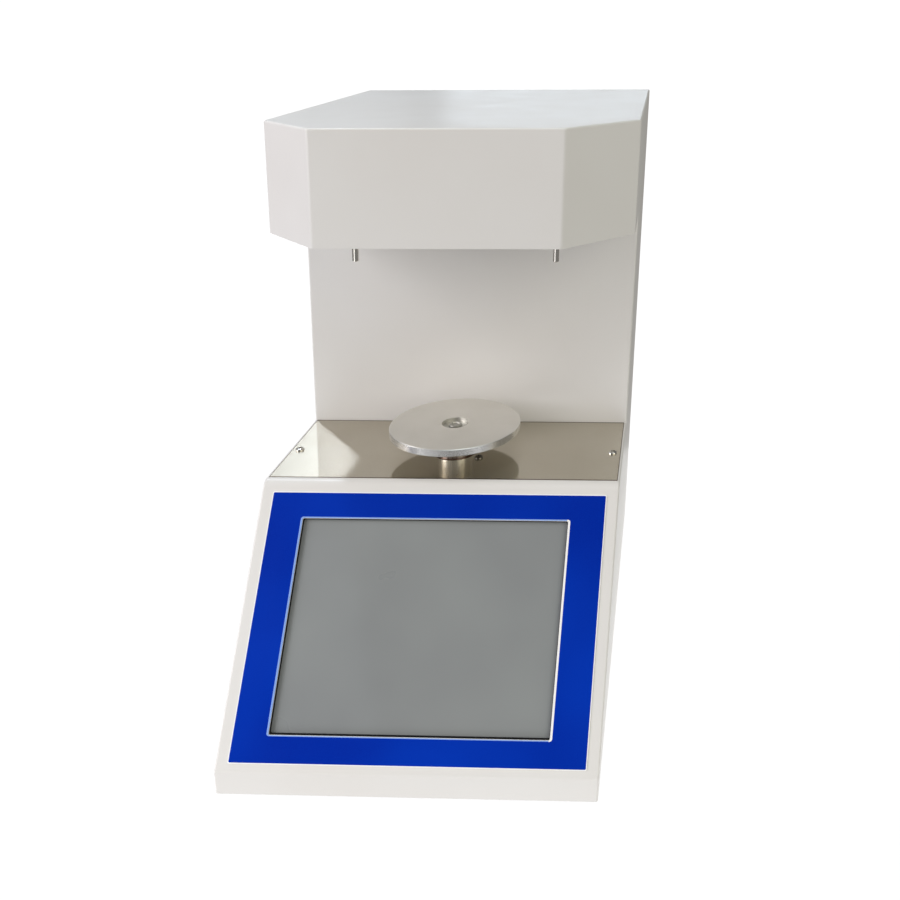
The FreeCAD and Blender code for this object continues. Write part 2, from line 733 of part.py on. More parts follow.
def fixed_lift():
    """Frame of the lift, hung under the deck, with its motor and screw."""
    top = plate(lift_plate_size, guide_radius, lift_top - lift_plate, lift_top, centre=(0, axis_y))
    top_holes = cylinders(guide_points, guide_radius + seat_gap, lift_top - lift_plate, lift_top)
    top_holes += cylinders([(0, axis_y)], bush_radius + seat_gap, lift_top - lift_plate, lift_top)
    top_holes += cylinders(bush_screw_points, m3_radius + seat_gap, lift_top - lift_plate, lift_top)
    top_holes += cylinders(ledge_screw_points, m3_hole, lift_top - lift_plate, lift_top)
    base = plate(lift_plate_size, guide_radius, motor_top, base_plate_top, centre=(0, axis_y))
    base_holes = cylinders(guide_points, guide_radius + seat_gap, motor_top, base_plate_top)
    base_holes += cylinders([(0, axis_y)], motor_boss_radius + seat_gap, motor_top, base_plate_top)
    base_holes += cylinders(motor_screw_points, m3_hole, motor_top, base_plate_top)
    motor_bottom = motor_top - motor_length
    motor = plate((motor_width, motor_width), motor_corner, motor_bottom, motor_top, centre=(0, axis_y))
    socket = block((-motor_width / 5, motor_width / 5),
                   (axis_y + motor_width / 2, axis_y + motor_width / 2 + motor_corner),
                   (motor_bottom, motor_bottom + motor_length / 4))
    boss = cylinders([(0, axis_y)], motor_boss_radius, motor_top, motor_top + motor_boss)
    motor = motor.fuse(boss + [socket]).removeSplitter()
    bores = cylinders([(0, axis_y)], screw_radius + running_gap, motor_top - screw_in_motor,
                      motor_top + motor_boss)
    bores += cylinders(motor_screw_points, m3_radius + seat_gap, motor_top - m3_length, motor_top)
    screw_top = carriage_top + lift_travel + screw_overrun
    screw_low = motor_top - screw_in_motor + rest_gap
    rings = tubes(guide_points, guide_bush_radius, guide_radius + seat_gap, base_plate_top,
                  base_plate_top + stop_ring_height)
    return {
        "lift_top_plate": top.cut(top_holes),
        "lift_base_plate": base.cut(base_holes),
        "guide_rods": group(cylinders(guide_points, guide_radius, motor_top, lift_top)),
        "stop_rings": group(rings),
        "post_bush": post_bush(),
        "bush_screws": group(screws(bush_screw_points, deck, deck - lift_top + m3_length)),
        "lift_motor": motor.cut(bores),
        "lift_screws": group(
            screws(ledge_screw_points, lift_top - lift_plate, lift_plate + sheet, side=-1, shown=False)
            + screws(motor_screw_points, base_plate_top, lift_base_plate + m3_length / 2, shown=False)),
        "lead_screw": cylinders([(0, axis_y)], screw_radius, screw_low, screw_top)[0],
        **lift_sensors(),
    }


# ---------------------------------------------------------------- head: sensor, hook and pins
def load_cell():
    """Bending beam with two joined round holes, so that it flexes near its middle."""
    free_end = axis_y - cell_overhang
    middle = free_end + cell_length / 2
    beam = block((-cell_section / 2, cell_section / 2), (free_end, free_end + cell_length),
                 (cell_bottom, cell_bottom + cell_section))
    z = cell_bottom + cell_section / 2
    eyes = [(middle + side * cell_hole_spacing / 2, z) for side in (-1, 1)]
    window = cylinders(eyes, cell_hole_radius, -cell_section, cell_section, "side")
    window.append(block((-cell_section, cell_section), (eyes[0][0], eyes[1][0]),
                        (z - cell_hole_radius / 2, z + cell_hole_radius / 2)))
    bolts = cylinders(cell_bolts(), m4_radius + seat_gap, cell_bottom, cell_bottom + cell_section)
    stem_hole = cylinders([(0, axis_y)], stem_radius + seat_gap, cell_bottom, cell_bottom + cell_section)
    return beam.cut(window + bolts + stem_hole)


def cell_bolts():
    """Places of the two screws through the clamped end of the load cell."""
    middle = axis_y - cell_overhang + cell_length - cell_clamp / 2
    return [(0, middle - cell_bolt_pitch / 2), (0, middle + cell_bolt_pitch / 2)]


def hook_stem():
    """Rod from the load cell down to a flat eye."""
    eye_z = pivot_z + eye_hole - wire_radius - rest_gap
    top = cell_bottom + cell_section
    rod = Part.makeCylinder(stem_radius, top - eye_z - eye_radius + eye_thickness,
                            V(0, axis_y, eye_z + eye_radius - eye_thickness))
    eye = Part.makeCylinder(eye_radius, eye_thickness, V(0, axis_y - eye_thickness / 2, eye_z), V(0, 1, 0))
    neck = block((-stem_radius, stem_radius), (axis_y - eye_thickness / 2, axis_y + eye_thickness / 2),
                 (eye_z, eye_z + eye_radius))
    hole = Part.makeCylinder(eye_hole, 2 * eye_thickness, V(0, axis_y - eye_thickness, eye_z), V(0, 1, 0))
    return rod.fuse([eye, neck]).removeSplitter().cut(hole)


def suspension_hook():
    """Bent wire: a closed link through the stem's eye, a shank, and an open hook below."""
    link_z = pivot_z - link_radius
    link = Part.makeTorus(link_radius, wire_radius, V(0, axis_y, link_z), V(1, 0, 0))
    shank_top = link_z - link_radius
    shank_low = shank_top - shank_length
    shank = Part.makeCylinder(wire_radius, shank_length, V(0, axis_y, shank_low))
    centre = V(0, axis_y + hook_radius, shank_low)
    path = Part.Arc(centre + V(0, -hook_radius, 0), centre + V(0, 0, -hook_radius),
                    centre + V(0, hook_radius, 0)).toShape()
    ring = Part.Wire(Part.makeCircle(wire_radius, centre + V(0, -hook_radius, 0), V(0, 0, 1)))
    bow = Part.Wire(path).makePipe(Part.Face(ring))
    return link.fuse([shank, bow]).removeSplitter()


def sensor_shelf():
    """Aluminium shelf on the chassis that carries the load cell's clamped end."""
    shelf_y = (axis_y + shelf_front_gap, chassis_back)
    size = (shelf_width, shelf_y[1] - shelf_y[0])
    shelf = plate(size, shelf_fillet, shelf_bottom, shelf_top, centre=(0, sum(shelf_y) / 2))
    return shelf.cut(cylinders(cell_bolts(), m4_hole, shelf_bottom, shelf_top))


def force_sensor():
    """Load cell on its shelf, its stop, the hook, and the hanger pins under the head."""
    clamp_y = (cell_bolts()[0][1] + cell_bolts()[1][1]) / 2
    spacer = plate((cell_section, cell_clamp), 0, shelf_top, cell_bottom, centre=(0, clamp_y))
    spacer = spacer.cut(cylinders(cell_bolts(), m4_hole, shelf_top, cell_bottom))
    stop_y = axis_y + shelf_front_gap + stop_arm
    stop = cylinders([(0, stop_y)], stop_screw_radius, shelf_top, cell_bottom - rest_gap)[0]
    collar = cylinders([(0, stop_y)], 2 * stop_screw_radius, shelf_top, shelf_top + stop_arm)[0]
    nut_low = head_bottom + sheet
    tip = head_bottom - pin_length
    pin_top = nut_low + pin_nut_height + pin_thread
    pins = [turned([(0, tip), (pin_radius - pin_chamfer, tip), (pin_radius, tip + pin_chamfer),
                    (pin_radius, head_bottom), (pin_thread, head_bottom), (pin_thread, pin_top),
                    (0, pin_top)], point) for point in pin_points]
    nuts = []
    for point in pin_points:
        nut = prism("plan", ring_points(pin_nut_radius, range(0, 360, 60), point), [0] * 6, nut_low,
                    nut_low + pin_nut_height)
        nuts.append(nut.cut(cylinders([point], pin_thread + seat_gap, nut_low, nut_low + pin_nut_height)))
    bolt_length = cell_section + cell_spacer + shelf_thickness
    return {
        "sensor_shelf": sensor_shelf(),
        "cell_spacer": spacer,
        "load_cell": load_cell(),
        "cell_screws": group(screws(cell_bolts(), cell_bottom + cell_section, bolt_length, "m4",
                                    shown=False)),
        "overload_stop": stop.fuse(collar).removeSplitter(),
        "hook_stem": hook_stem(),
        "suspension_hook": suspension_hook(),
        "hanger_pins": group(pins),
        "pin_nuts": group(nuts),
    }


# ---------------------------------------------------------------- chassis and electronics
def chassis_column():
    """Folded steel channel that stands on the pan and carries the sensor shelf."""
    low = case_floor + pan_sheet
    outer = block((-chassis_width / 2, chassis_width / 2), (chassis_front, chassis_back),
                  (low, shelf_bottom))
    inner = block((-chassis_width / 2 + chassis_sheet, chassis_width / 2 - chassis_sheet),
                  (chassis_front + chassis_sheet, chassis_back),
                  (low + chassis_sheet, shelf_bottom - chassis_sheet))
    holes = cylinders(board_bolts(), m3_hole, chassis_front, chassis_front + chassis_sheet, "rear")
    return outer.cut([inner] + holes)


def board_bolts():
    """Corner screws of the control board."""
    centre = (0, case_floor + board_base + board_height / 2)
    return rectangle((board_width - 4 * standoff_radius, board_height - 4 * standoff_radius), centre)


def electronics():
    """Boards and power supply, each on what carries it."""
    board_back = chassis_front - standoff
    board_low = case_floor + board_base
    board = block((-board_width / 2, board_width / 2), (board_back - board_thickness, board_back),
                  (board_low, board_low + board_height))
    board = board.cut(cylinders(board_bolts(), m3_hole, board_back - board_thickness, board_back, "rear"))
    pillars = tubes(board_bolts(), standoff_radius, m3_hole, board_back, chassis_front, "rear")
    chip = board_thickness
    face = board_back - board_thickness
    chips = [
        block((-board_width / 4, 0), (face - chip, face),
              (board_low + board_height / 4, board_low + board_height / 4 + board_width / 4)),
        block((board_width / 8, board_width / 3), (face - 3 * chip, face),
              (board_low + board_height / 2, board_low + board_height * 0.8)),
        block((-board_width / 3, board_width / 3), (face - 4 * chip, face),
              (board_low, board_low + board_height / 12)),
    ]
    supply_y = chassis_front + chassis_sheet
    supply_low = case_floor + supply_base
    supply = block((-supply_width / 2, supply_width / 2), (supply_y, supply_y + supply_depth),
                   (supply_low, supply_low + supply_height))
    amp_y = (chassis_back - amplifier_depth, chassis_back)
    amp_low = shelf_top + amplifier_standoff
    amplifier = block((-amplifier_width / 2, amplifier_width / 2), amp_y,
                      (amp_low, amp_low + board_thickness))
    inset = 2 * standoff_radius
    amp_points = rectangle((amplifier_width - 2 * inset, amplifier_depth - 2 * inset), (0, sum(amp_y) / 2))
    amplifier = amplifier.cut(cylinders(amp_points, m3_hole, amp_low, amp_low + board_thickness))
    feet_of_amp = tubes(amp_points, standoff_radius, m3_hole, shelf_top, amp_low)
    return {
        "chassis_column": chassis_column(),
        "control_board": board,
        "board_components": group(chips),
        "board_standoffs": group(pillars + feet_of_amp),
        "power_supply": supply,
        "amplifier_board": amplifier,
    }


# ---------------------------------------------------------------- rear fittings
def power_inlet():
    """Mains inlet: an oval plate, a body through the panel and a deep socket."""
    at = (inlet_x, service_z)
    flange_plate = plate(inlet_plate, inlet_corner, back, back + inlet_plate_thickness, "rear", at)
    inside = back + inlet_plate_thickness - inlet_depth
    body = plate(inlet_body, fitting_round, inside, back + inlet_plate_thickness, "rear", at)
    cavity = plate(inlet_cavity, inlet_corner, back + inlet_plate_thickness - inlet_cavity_depth,
                   back + inlet_plate_thickness, "rear", at)
    holes = cylinders(inlet_bolts, m3_hole, back, back + inlet_plate_thickness, "rear")
    blades = []
    floor_y = back + inlet_plate_thickness - inlet_cavity_depth
    for x, z in ((-blade_spacing / 2, -blade_drop), (blade_spacing / 2, -blade_drop), (0, blade_drop)):
        blades.append(block((inlet_x + x - blade[0] / 2, inlet_x + x + blade[0] / 2),
                            (floor_y, floor_y + blade_length),
                            (service_z + z - blade[1] / 2, service_z + z + blade[1] / 2)))
    seat = back + inlet_plate_thickness
    return {
        "power_inlet": flange_plate.fuse(body).removeSplitter().cut([cavity] + holes),
        "inlet_blades": group(blades),
        "inlet_screws": group(screws(inlet_bolts, seat, inlet_plate_thickness + m3_length, view="rear")),
    }


def power_switch():
    """Rocker switch: a frame through the panel, and the rocker on two short pins."""
    at = (switch_x, service_z)
    face = back + switch_bezel_thickness
    frame = plate(switch_bezel, fitting_round / 2, back, face, "rear", at)
    frame = frame.fuse(plate(switch_body, fit_gap, face - switch_depth, face, "rear", at)).removeSplitter()
    cavity = plate(switch_cavity, 0, face - switch_depth + sheet, face, "rear", at)
    pivot = V(switch_x, back, service_z)
    reach = rocker_width / 2 + rocker_pin
    bore = Part.makeCylinder(rocker_pin_radius + running_gap, 2 * (reach + running_gap),
                             pivot - V(reach + running_gap, 0, 0), V(1, 0, 0))
    end = rocker_middle + rocker_dish
    profile = [(-rocker_half_height, end), (0, rocker_middle), (rocker_half_height, end),
               (rocker_half_height * 0.6, -rocker_tail), (-rocker_half_height * 0.6, -rocker_tail)]
    wire = Part.makePolygon([V(0, y, z) for z, y in profile + profile[:1]])
    rocker = Part.Face(wire).extrude(V(rocker_width, 0, 0))
    rocker.translate(V(-rocker_width / 2, 0, 0))
    pin = Part.makeCylinder(rocker_pin_radius, 2 * reach, V(-reach, 0, 0), V(1, 0, 0))
    rocker = rocker.fuse(pin).removeSplitter()
    rocker.rotate(V(0, 0, 0), V(1, 0, 0), rocker_throw)
    rocker.translate(pivot)
    return {"switch_frame": frame.cut([cavity, bore]), "power_rocker": rocker}


def serial_port():
    """Nine-way socket: plate, tapered shell filled with its insulator, and two jack posts."""
    width, height = port_shell
    lean = height * math.tan(math.radians(port_taper)) / 2
    shell = [(port_x - width / 2 + lean, service_z - height / 2),
             (port_x + width / 2 - lean, service_z - height / 2),
             (port_x + width / 2 + lean, service_z + height / 2),
             (port_x - width / 2 - lean, service_z + height / 2)]
    nose = prism("rear", shell, [fitting_round] * 4, shell_back - port_body_depth,
                 back + port_plate_thickness + port_shell_length, inset=lean)
    port = nose.fuse(plate(port_plate, fitting_round, back, back + port_plate_thickness, "rear",
                           (port_x, service_z))).removeSplitter()
    tip = back + port_plate_thickness + port_shell_length
    contacts = []
    for row, count in ((1, 5), (-1, 4)):
        first = port_x - port_contact_pitch * (count - 1) / 2
        contacts += [(first + i * port_contact_pitch, service_z + row * port_contact_pitch / 2)
                     for i in range(count)]
    port = port.cut(cylinders(contacts, port_contact_radius, tip - port_shell_length / 2, tip, "rear"))
    port = port.cut(cylinders(port_bolts, m3_hole, back, back + port_plate_thickness, "rear"))
    jacks = []
    low = back + port_plate_thickness
    for point in port_bolts:
        hexagon = prism("rear", ring_points(jack_radius, range(0, 360, 60), point), [0] * 6, low,
                        low + jack_length)
        thread = cylinders([point], m3_radius, low - port_plate_thickness - sheet - m3_radius, low, "rear")
        hollow = cylinders([point], m3_radius, low + jack_length / 3, low + jack_length, "rear")
        jacks.append(hexagon.fuse(thread).removeSplitter().cut(hollow))
    return {"serial_port": port, "jack_posts": group(jacks)}


# ---------------------------------------------------------------- write the pieces
def write_parts():
    """One STEP file for each named piece."""
    os.makedirs("parts", exist_ok=True)
    pieces = {**housing(), **screen(), **moving_lift(), **fixed_lift(), **force_sensor(),
              **electronics(), **power_inlet(), **power_switch(), **serial_port()}
    for name, shape in pieces.items():
        shape.exportStep(f"parts/{name}.step")
    print(len(pieces), "nodes,", sum(len(s.Solids) for s in pieces.values()), "solids, all valid:",
          all(s.isValid() for s in pieces.values()))


write_parts()
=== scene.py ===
import math

import bpy
import numpy as np
from mathutils import Matrix, Vector


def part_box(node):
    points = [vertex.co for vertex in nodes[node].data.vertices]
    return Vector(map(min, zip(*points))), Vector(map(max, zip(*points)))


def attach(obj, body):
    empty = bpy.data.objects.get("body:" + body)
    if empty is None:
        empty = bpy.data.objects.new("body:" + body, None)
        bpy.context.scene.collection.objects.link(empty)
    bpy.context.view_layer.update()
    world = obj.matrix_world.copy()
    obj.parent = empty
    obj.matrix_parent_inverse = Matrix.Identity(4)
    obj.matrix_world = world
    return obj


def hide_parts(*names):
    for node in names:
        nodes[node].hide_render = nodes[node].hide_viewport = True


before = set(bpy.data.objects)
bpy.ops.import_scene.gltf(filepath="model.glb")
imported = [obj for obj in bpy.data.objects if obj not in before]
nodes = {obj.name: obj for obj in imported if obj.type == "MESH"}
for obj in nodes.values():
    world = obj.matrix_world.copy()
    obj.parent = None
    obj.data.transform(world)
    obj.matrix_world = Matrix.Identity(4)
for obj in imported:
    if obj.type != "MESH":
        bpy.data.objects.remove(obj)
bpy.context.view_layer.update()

# ------------------------------------------------------------------ sizes, in metres
MM = 0.001
TILT = math.atan2(136.0, 95.2)                                 # lean of the screen panel
PANEL_MIDDLE = np.array([0.0, -125.55, 91.3]) * MM
INK_SIZE, INK_MIDDLE = (204.4, 153.4), (0.0, -1.2)             # the blue of the film, in millimetres
OPENING_SIZE, OPENING_MIDDLE = (164.6, 124.5), (-0.53, -1.31)  # the hole in that blue
INK_CORNER, OPENING_CORNER = 0.8, 1.6                          # their corner radii, in millimetres
LIFT_AXIS = np.array([0.0, -34.15]) * MM
DISC_RIM, DISC_RECESS = 41.6 * MM, 8.5 * MM                    # radii where rim and recess begin
SOFT_STEP = 0.2 * MM                                           # width over which finishes change
DECK_SHADE_BAND_X, DECK_SHADE_BAND_Y = 0.35 * MM, 1.1 * MM                 # widths of the painted shade along the deck sheet's edges
RING_POINTS, LOOP_POINTS = 64, 48                              # points round a screw and a mark


# ------------------------------------------------------------------ surfaces
def closed_skin(first, rings, last):
    """Closed skin over rings of equal length: each ring point joins its neighbour round the ring and
    the same point of the next ring, and a fan closes each end on its own point."""
    count, around = rings.shape[0], rings.shape[1]
    points = np.vstack([first[None, :], rings.reshape(-1, 3), last[None, :]])
    ring, step = np.meshgrid(np.arange(count - 1), np.arange(around), indexing="ij")
    here = 1 + ring * around + step
    beside = 1 + ring * around + (step + 1) % around
    quads = np.stack([here, beside, beside + around, here + around], axis=-1).reshape(-1, 4)
    place = np.arange(around)
    following = (place + 1) % around
    opening = np.stack([np.zeros_like(place), 1 + following, 1 + place], axis=-1)
    last_ring = 1 + (count - 1) * around
    closing = np.stack([np.full_like(place, len(points) - 1), last_ring + place, last_ring + following],
                       axis=-1)
    return points, [quads, opening, closing]


def volume_of(points, faces):
    """Volume inside the faces, as the sum of the tetrahedra from the origin to each triangle."""
    total = 0.0
    for group in faces:
        for a, b in zip(range(1, group.shape[1] - 1), range(2, group.shape[1])):
            p, q, r = points[group[:, 0]], points[group[:, a]], points[group[:, b]]
            total += np.einsum("ij,ij->i", p, np.cross(q, r)).sum() / 6
    return total


def make_piece(name, skin, finish, body, smooth=35.0, stands_for=()):
    """Put a skin into a mesh with its faces outwards, give it a finish and let it ride on a body.  Edges
    that turn by more than smooth, in degrees, stay sharp."""
    points, faces = skin
    if volume_of(points, faces) < 0:
        faces = [group[:, ::-1] for group in faces]
    mesh = bpy.data.meshes.new(name)
    mesh.from_pydata(points.tolist(), [], [f for group in faces for f in group.tolist()])
    mesh.polygons.foreach_set("use_smooth", np.ones(len(mesh.polygons), bool))
    mesh.set_sharp_from_angle(angle=math.radians(smooth))
    mesh.update()
    piece = bpy.data.objects.new(name, mesh)
    bpy.context.scene.collection.objects.link(piece)
    mesh.materials.append(finish)
    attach(piece, body)
    if stands_for:
        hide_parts(*stands_for)


def turn_to(axis):
    """Turn that carries the upright axis to the given one."""
    return np.array(Vector((0, 0, 1)).rotation_difference(Vector(axis)).to_matrix())


def screw_skin(head_radius, head_height, shank_radius, shank_length, driver, depth, curve):
    """Screw with a domed head.  At radius r of a head with radius R, its height is the rim plus the rest
    times (1 - (r/R)^curve)^(1/curve).  Inside the driver's outline it drops by depth: the recess has a
    floor, steep walls and an edge.  Outside, the rings lie closer together towards the rim."""
    rim_share, floor_share, wall_share, wall_drop = 0.22, 0.62, 0.93, 0.75
    tip_start, tip_narrowing = 0.92, 0.8
    angle = np.linspace(0, 2 * np.pi, RING_POINTS, endpoint=False)
    circle = np.ones_like(angle)
    rim = rim_share * head_height

    def dome(r):
        share = np.clip(1 - (r / head_radius) ** curve, 0, 1)
        return rim + (head_height - rim) * share ** (1 / curve)

    outline = driver(angle)
    outer = outline.max()
    steps = outer + (head_radius - outer) * np.sin(np.linspace(0.12, 0.5, 9) * np.pi)
    radii = [outline * floor_share, outline * wall_share, outline] + [circle * r for r in steps]
    heights = [circle * (head_height - depth), dome(outline) - wall_drop * depth, dome(outline)]
    heights += [circle * dome(r) for r in steps]
    for r, z in ((head_radius, 0), (shank_radius, 0), (shank_radius, -tip_start * shank_length),
                 (tip_narrowing * shank_radius, -shank_length)):
        radii.append(circle * r)
        heights.append(circle * z)
    radii, heights = np.array(radii), np.array(heights)
    rings = np.stack([radii * np.cos(angle), radii * np.sin(angle), heights], axis=-1)
    return closed_skin(np.array([0, 0, head_height - depth]), rings, np.array([0, 0, -shank_length]))


def cross_outline(arm, width):
    """Outline of a cross: the nearer of its arm's end and its arm's side, mirrored into each eighth."""
    def outline(angle):
        folded = np.abs((angle + np.pi / 4) % (np.pi / 2) - np.pi / 4)
        return np.minimum(arm / np.cos(folded), width / np.maximum(np.sin(folded), 1e-6))
    return outline


def hexagon_outline(apothem):
    """Outline of a hexagon: its flat's distance over the cosine of the angle from the flat's middle."""
    def outline(angle):
        return apothem / np.cos((angle + np.pi / 6) % (np.pi / 3) - np.pi / 6)
    return outline


def screw_places(node, axis, size):
    """Middle of each screw's seat and the length of its shank, from the node's separate heads: a head's
    far end lies one head height beyond the seat along the axis.  A screw is the points within about a
    head's width of one of them, and its middle is refined three times."""
    points = np.array([v.co for v in nodes[node].data.vertices], float)
    way = np.array(axis, float)
    across = [i for i in range(3) if abs(way[i]) < 0.5]
    flat = points[:, across]
    reach = 2.1 * size[0]
    left = np.ones(len(flat), bool)
    middles = []
    while left.any():
        seed = flat[left][0]
        for _ in range(3):
            near = left & (np.linalg.norm(flat - seed, axis=1) < reach)
            seed = (flat[near].min(0) + flat[near].max(0)) / 2
        top = (points[near] @ way).max()
        low = (points[near] @ way).min()
        middle = np.zeros(3)
        middle[across] = seed
        middles.append((middle + way * (top - size[1]), top - size[1] - low))
        left &= ~near
    return middles


def dressed_screws(node, axis, size, driver, depth, finish, body, curve=2.4):
    """Screws with their driver recesses, each on its own plain screw of the node.  The size holds the
    head's radius and height and the shank's radius.  Each screw is spun by its own angle, in radians:
    its seat's coordinates times a spin factor each, added up."""
    spin_factors = (900, 700, 500)
    offset, points, faces = 0, [], []
    for seat, length in screw_places(node, axis, size):
        skin_points, skin_faces = screw_skin(*size, length, driver, depth, curve)
        spin = np.array(Matrix.Rotation(sum(c * f for c, f in zip(seat, spin_factors)), 3, "Z"))
        points.append(skin_points @ (turn_to(axis) @ spin).T + seat)
        faces += [group + offset for group in skin_faces]
        offset += len(skin_points)
    make_piece(node + "_dressed", (np.vstack(points), faces), finish, body, stands_for=(node,))


def threaded_rod(radius, depth, lead, starts, low, high):
    """Screw thread: at angle a and height z the radius is the crest less depth times a trapezium wave of
    (z - lead * a / turn) / pitch, so that the crest climbs one lead in a turn.  The groove has its full
    depth over a third of the pitch and a flank of a sixth on each side, and fades out over one pitch at
    both ends."""
    pitch = lead / starts
    rows_per_pitch, flank_steepness, groove_middle = 8, 6.0, 0.5
    around = np.linspace(0, 2 * np.pi, 48, endpoint=False)
    rows = np.linspace(low, high, int((high - low) / pitch * rows_per_pitch) + 1)
    z, a = np.meshgrid(rows, around, indexing="ij")
    wave = ((z - lead * a / (2 * np.pi)) / pitch) % 1.0
    groove = np.clip(2.0 - np.abs(wave - groove_middle) * flank_steepness, 0, 1)
    fade = np.clip((high - z) / pitch, 0, 1) * np.clip((z - low) / pitch, 0, 1)
    r = radius - depth * groove * fade
    rings = np.stack([r * np.cos(a) + LIFT_AXIS[0], r * np.sin(a) + LIFT_AXIS[1], z], axis=-1)
    return closed_skin(np.array([*LIFT_AXIS, low]), rings, np.array([*LIFT_AXIS, high]))


def rounded_loop(half_width, half_height, power):
    """Loop of points: each half size times the cosine or sine of the angle, its size raised to the
    power and its sign kept; 1 gives an oval and a smaller power a rectangle with round corners."""
    angle = np.linspace(0, 2 * np.pi, LOOP_POINTS, endpoint=False)
    c, s = np.cos(angle), np.sin(angle)
    return np.stack([half_width * np.sign(c) * np.abs(c) ** power,
                     half_height * np.sign(s) * np.abs(s) ** power], axis=-1)


def laid_on(loop, middle, slope, lift):
    """Points of a flat loop on a face through the middle that leans by the slope in its height, lifted
    off that face."""
    x, z = loop[:, 0], loop[:, 1]
    return np.stack([middle[0] + x, middle[1] + slope * z + lift, middle[2] + z], axis=-1)


def ring_mark(outer, inner, middle, slope, thickness):
    """Flat closed band between two loops, laid on a sloping face; its skin runs round the four corners
    of its section."""
    section = ((outer, 0), (outer, thickness), (inner, thickness), (inner, 0))
    loops = [laid_on(loop, middle, slope, lift) for loop, lift in section]
    n, total = LOOP_POINTS, len(section) * LOOP_POINTS
    edge, step = np.meshgrid(np.arange(len(section)), np.arange(n), indexing="ij")
    here, beside = edge * n + step, edge * n + (step + 1) % n
    quads = np.stack([here, beside, (beside + n) % total, (here + n) % total], axis=-1).reshape(-1, 4)
    return np.vstack(loops), [quads]


def bar_mark(loop, middle, slope, thickness):
    """Flat bar inside a loop, laid on a sloping face."""
    rings = np.array([laid_on(loop, middle, slope, 0), laid_on(loop, middle, slope, thickness)])
    centre = np.array(middle, float)
    return closed_skin(centre, rings, centre + (0, thickness, 0))


# ------------------------------------------------------------------ finishes
class Finish:
    """A finish: one principled shader, with patterns in the piece's own coordinates that feed it."""

    def __init__(self, name, colour, roughness, metal=0.0, **more):
        self.material = bpy.data.materials.new(name)
        self.material.use_nodes = True
        self.tree = self.material.node_tree
        self.shader = self.tree.nodes["Principled BSDF"]
        self.shader.inputs["Base Color"].default_value = (*colour, 1)
        self.shader.inputs["Roughness"].default_value = roughness
        self.shader.inputs["Metallic"].default_value = metal
        for socket, value in more.items():
            self.shader.inputs[socket.replace("_", " ")].default_value = value
        self.place = self.tree.nodes.new("ShaderNodeTexCoord").outputs["Object"]

    def add(self, kind, **settings):
        """New shader node of a kind, with its settings."""
        node = self.tree.nodes.new(kind)
        for key, value in settings.items():
            setattr(node, key, value)
        return node

    def link(self, source, target):
        self.tree.links.new(source, target)

    def stretched(self, stretch=(1, 1, 1), turn=(0, 0, 0), shift=(0, 0, 0)):
        """Object coordinates, stretched, turned and shifted."""
        node = self.add("ShaderNodeMapping")
        self.link(self.place, node.inputs["Vector"])
        node.inputs["Scale"].default_value = stretch
        node.inputs["Rotation"].default_value = turn
        node.inputs["Location"].default_value = shift
        return node.outputs["Vector"]

    def noise(self, scale, detail=2.0, stretch=None, rough=0.5):
        """Cloud pattern of about 0 to 1."""
        node = self.add("ShaderNodeTexNoise")
        node.inputs["Scale"].default_value = scale
        node.inputs["Detail"].default_value = detail
        node.inputs["Roughness"].default_value = rough
        self.link(self.stretched(stretch) if stretch else self.place, node.inputs["Vector"])
        return node.outputs["Fac"]

    def cells(self, scale, feature="F1", output="Distance", stretch=None):
        """Cell pattern."""
        node = self.add("ShaderNodeTexVoronoi", feature=feature)
        node.inputs["Scale"].default_value = scale
        self.link(self.stretched(stretch) if stretch else self.place, node.inputs["Vector"])
        return node.outputs[output]

    def bands(self, scale):
        """Straight bands across the height."""
        node = self.add("ShaderNodeTexWave", bands_direction="Z")
        node.inputs["Scale"].default_value = scale
        self.link(self.place, node.inputs["Vector"])
        return node.outputs["Fac"]

    def levels(self, pattern, low, high, start=0.35, end=0.65):
        """The pattern's start..end spread over low..high."""
        node = self.add("ShaderNodeMapRange")
        for socket, value in zip(("From Min", "From Max", "To Min", "To Max"), (start, end, low, high)):
            node.inputs[socket].default_value = value
        self.link(pattern, node.inputs["Value"])
        return node.outputs["Result"]

    def maths(self, first, second, how="ADD"):
        """One step of arithmetic on two patterns or numbers."""
        node = self.add("ShaderNodeMath", operation=how)
        for i, value in enumerate((first, second)):
            if isinstance(value, (int, float)):
                node.inputs[i].default_value = value
            else:
                self.link(value, node.inputs[i])
        return node.outputs["Value"]

    def between(self, pattern, first, second, start=0.35, end=0.65):
        """Colour that runs from the first to the second with the pattern."""
        node = self.add("ShaderNodeMix", data_type="RGBA")
        if isinstance(pattern, bpy.types.NodeSocket):
            self.link(self.levels(pattern, 0, 1, start, end), node.inputs["Factor"])
        for socket, value in ((node.inputs[6], first), (node.inputs[7], second)):
            if isinstance(value, bpy.types.NodeSocket):
                self.link(value, socket)
            else:
                socket.default_value = (*value, 1)
        return node.outputs[2]

    def colour(self, source):
        """Let a pattern drive the base colour."""
        self.link(source, self.shader.inputs["Base Color"])

    def gloss(self, pattern, low, high, start=0.35, end=0.65):
        """Let a pattern drive the roughness between low and high."""
        self.link(self.levels(pattern, low, high, start, end), self.shader.inputs["Roughness"])

    def relief(self, pattern, depth):
        """Bump whose full height is depth, added to any bump laid before it."""
        node = self.add("ShaderNodeBump")
        node.inputs["Distance"].default_value = depth
        self.link(pattern, node.inputs["Height"])
        normal = self.shader.inputs["Normal"]
        if normal.links:
            self.link(normal.links[0].from_socket, node.inputs["Normal"])
        self.link(node.outputs["Normal"], normal)


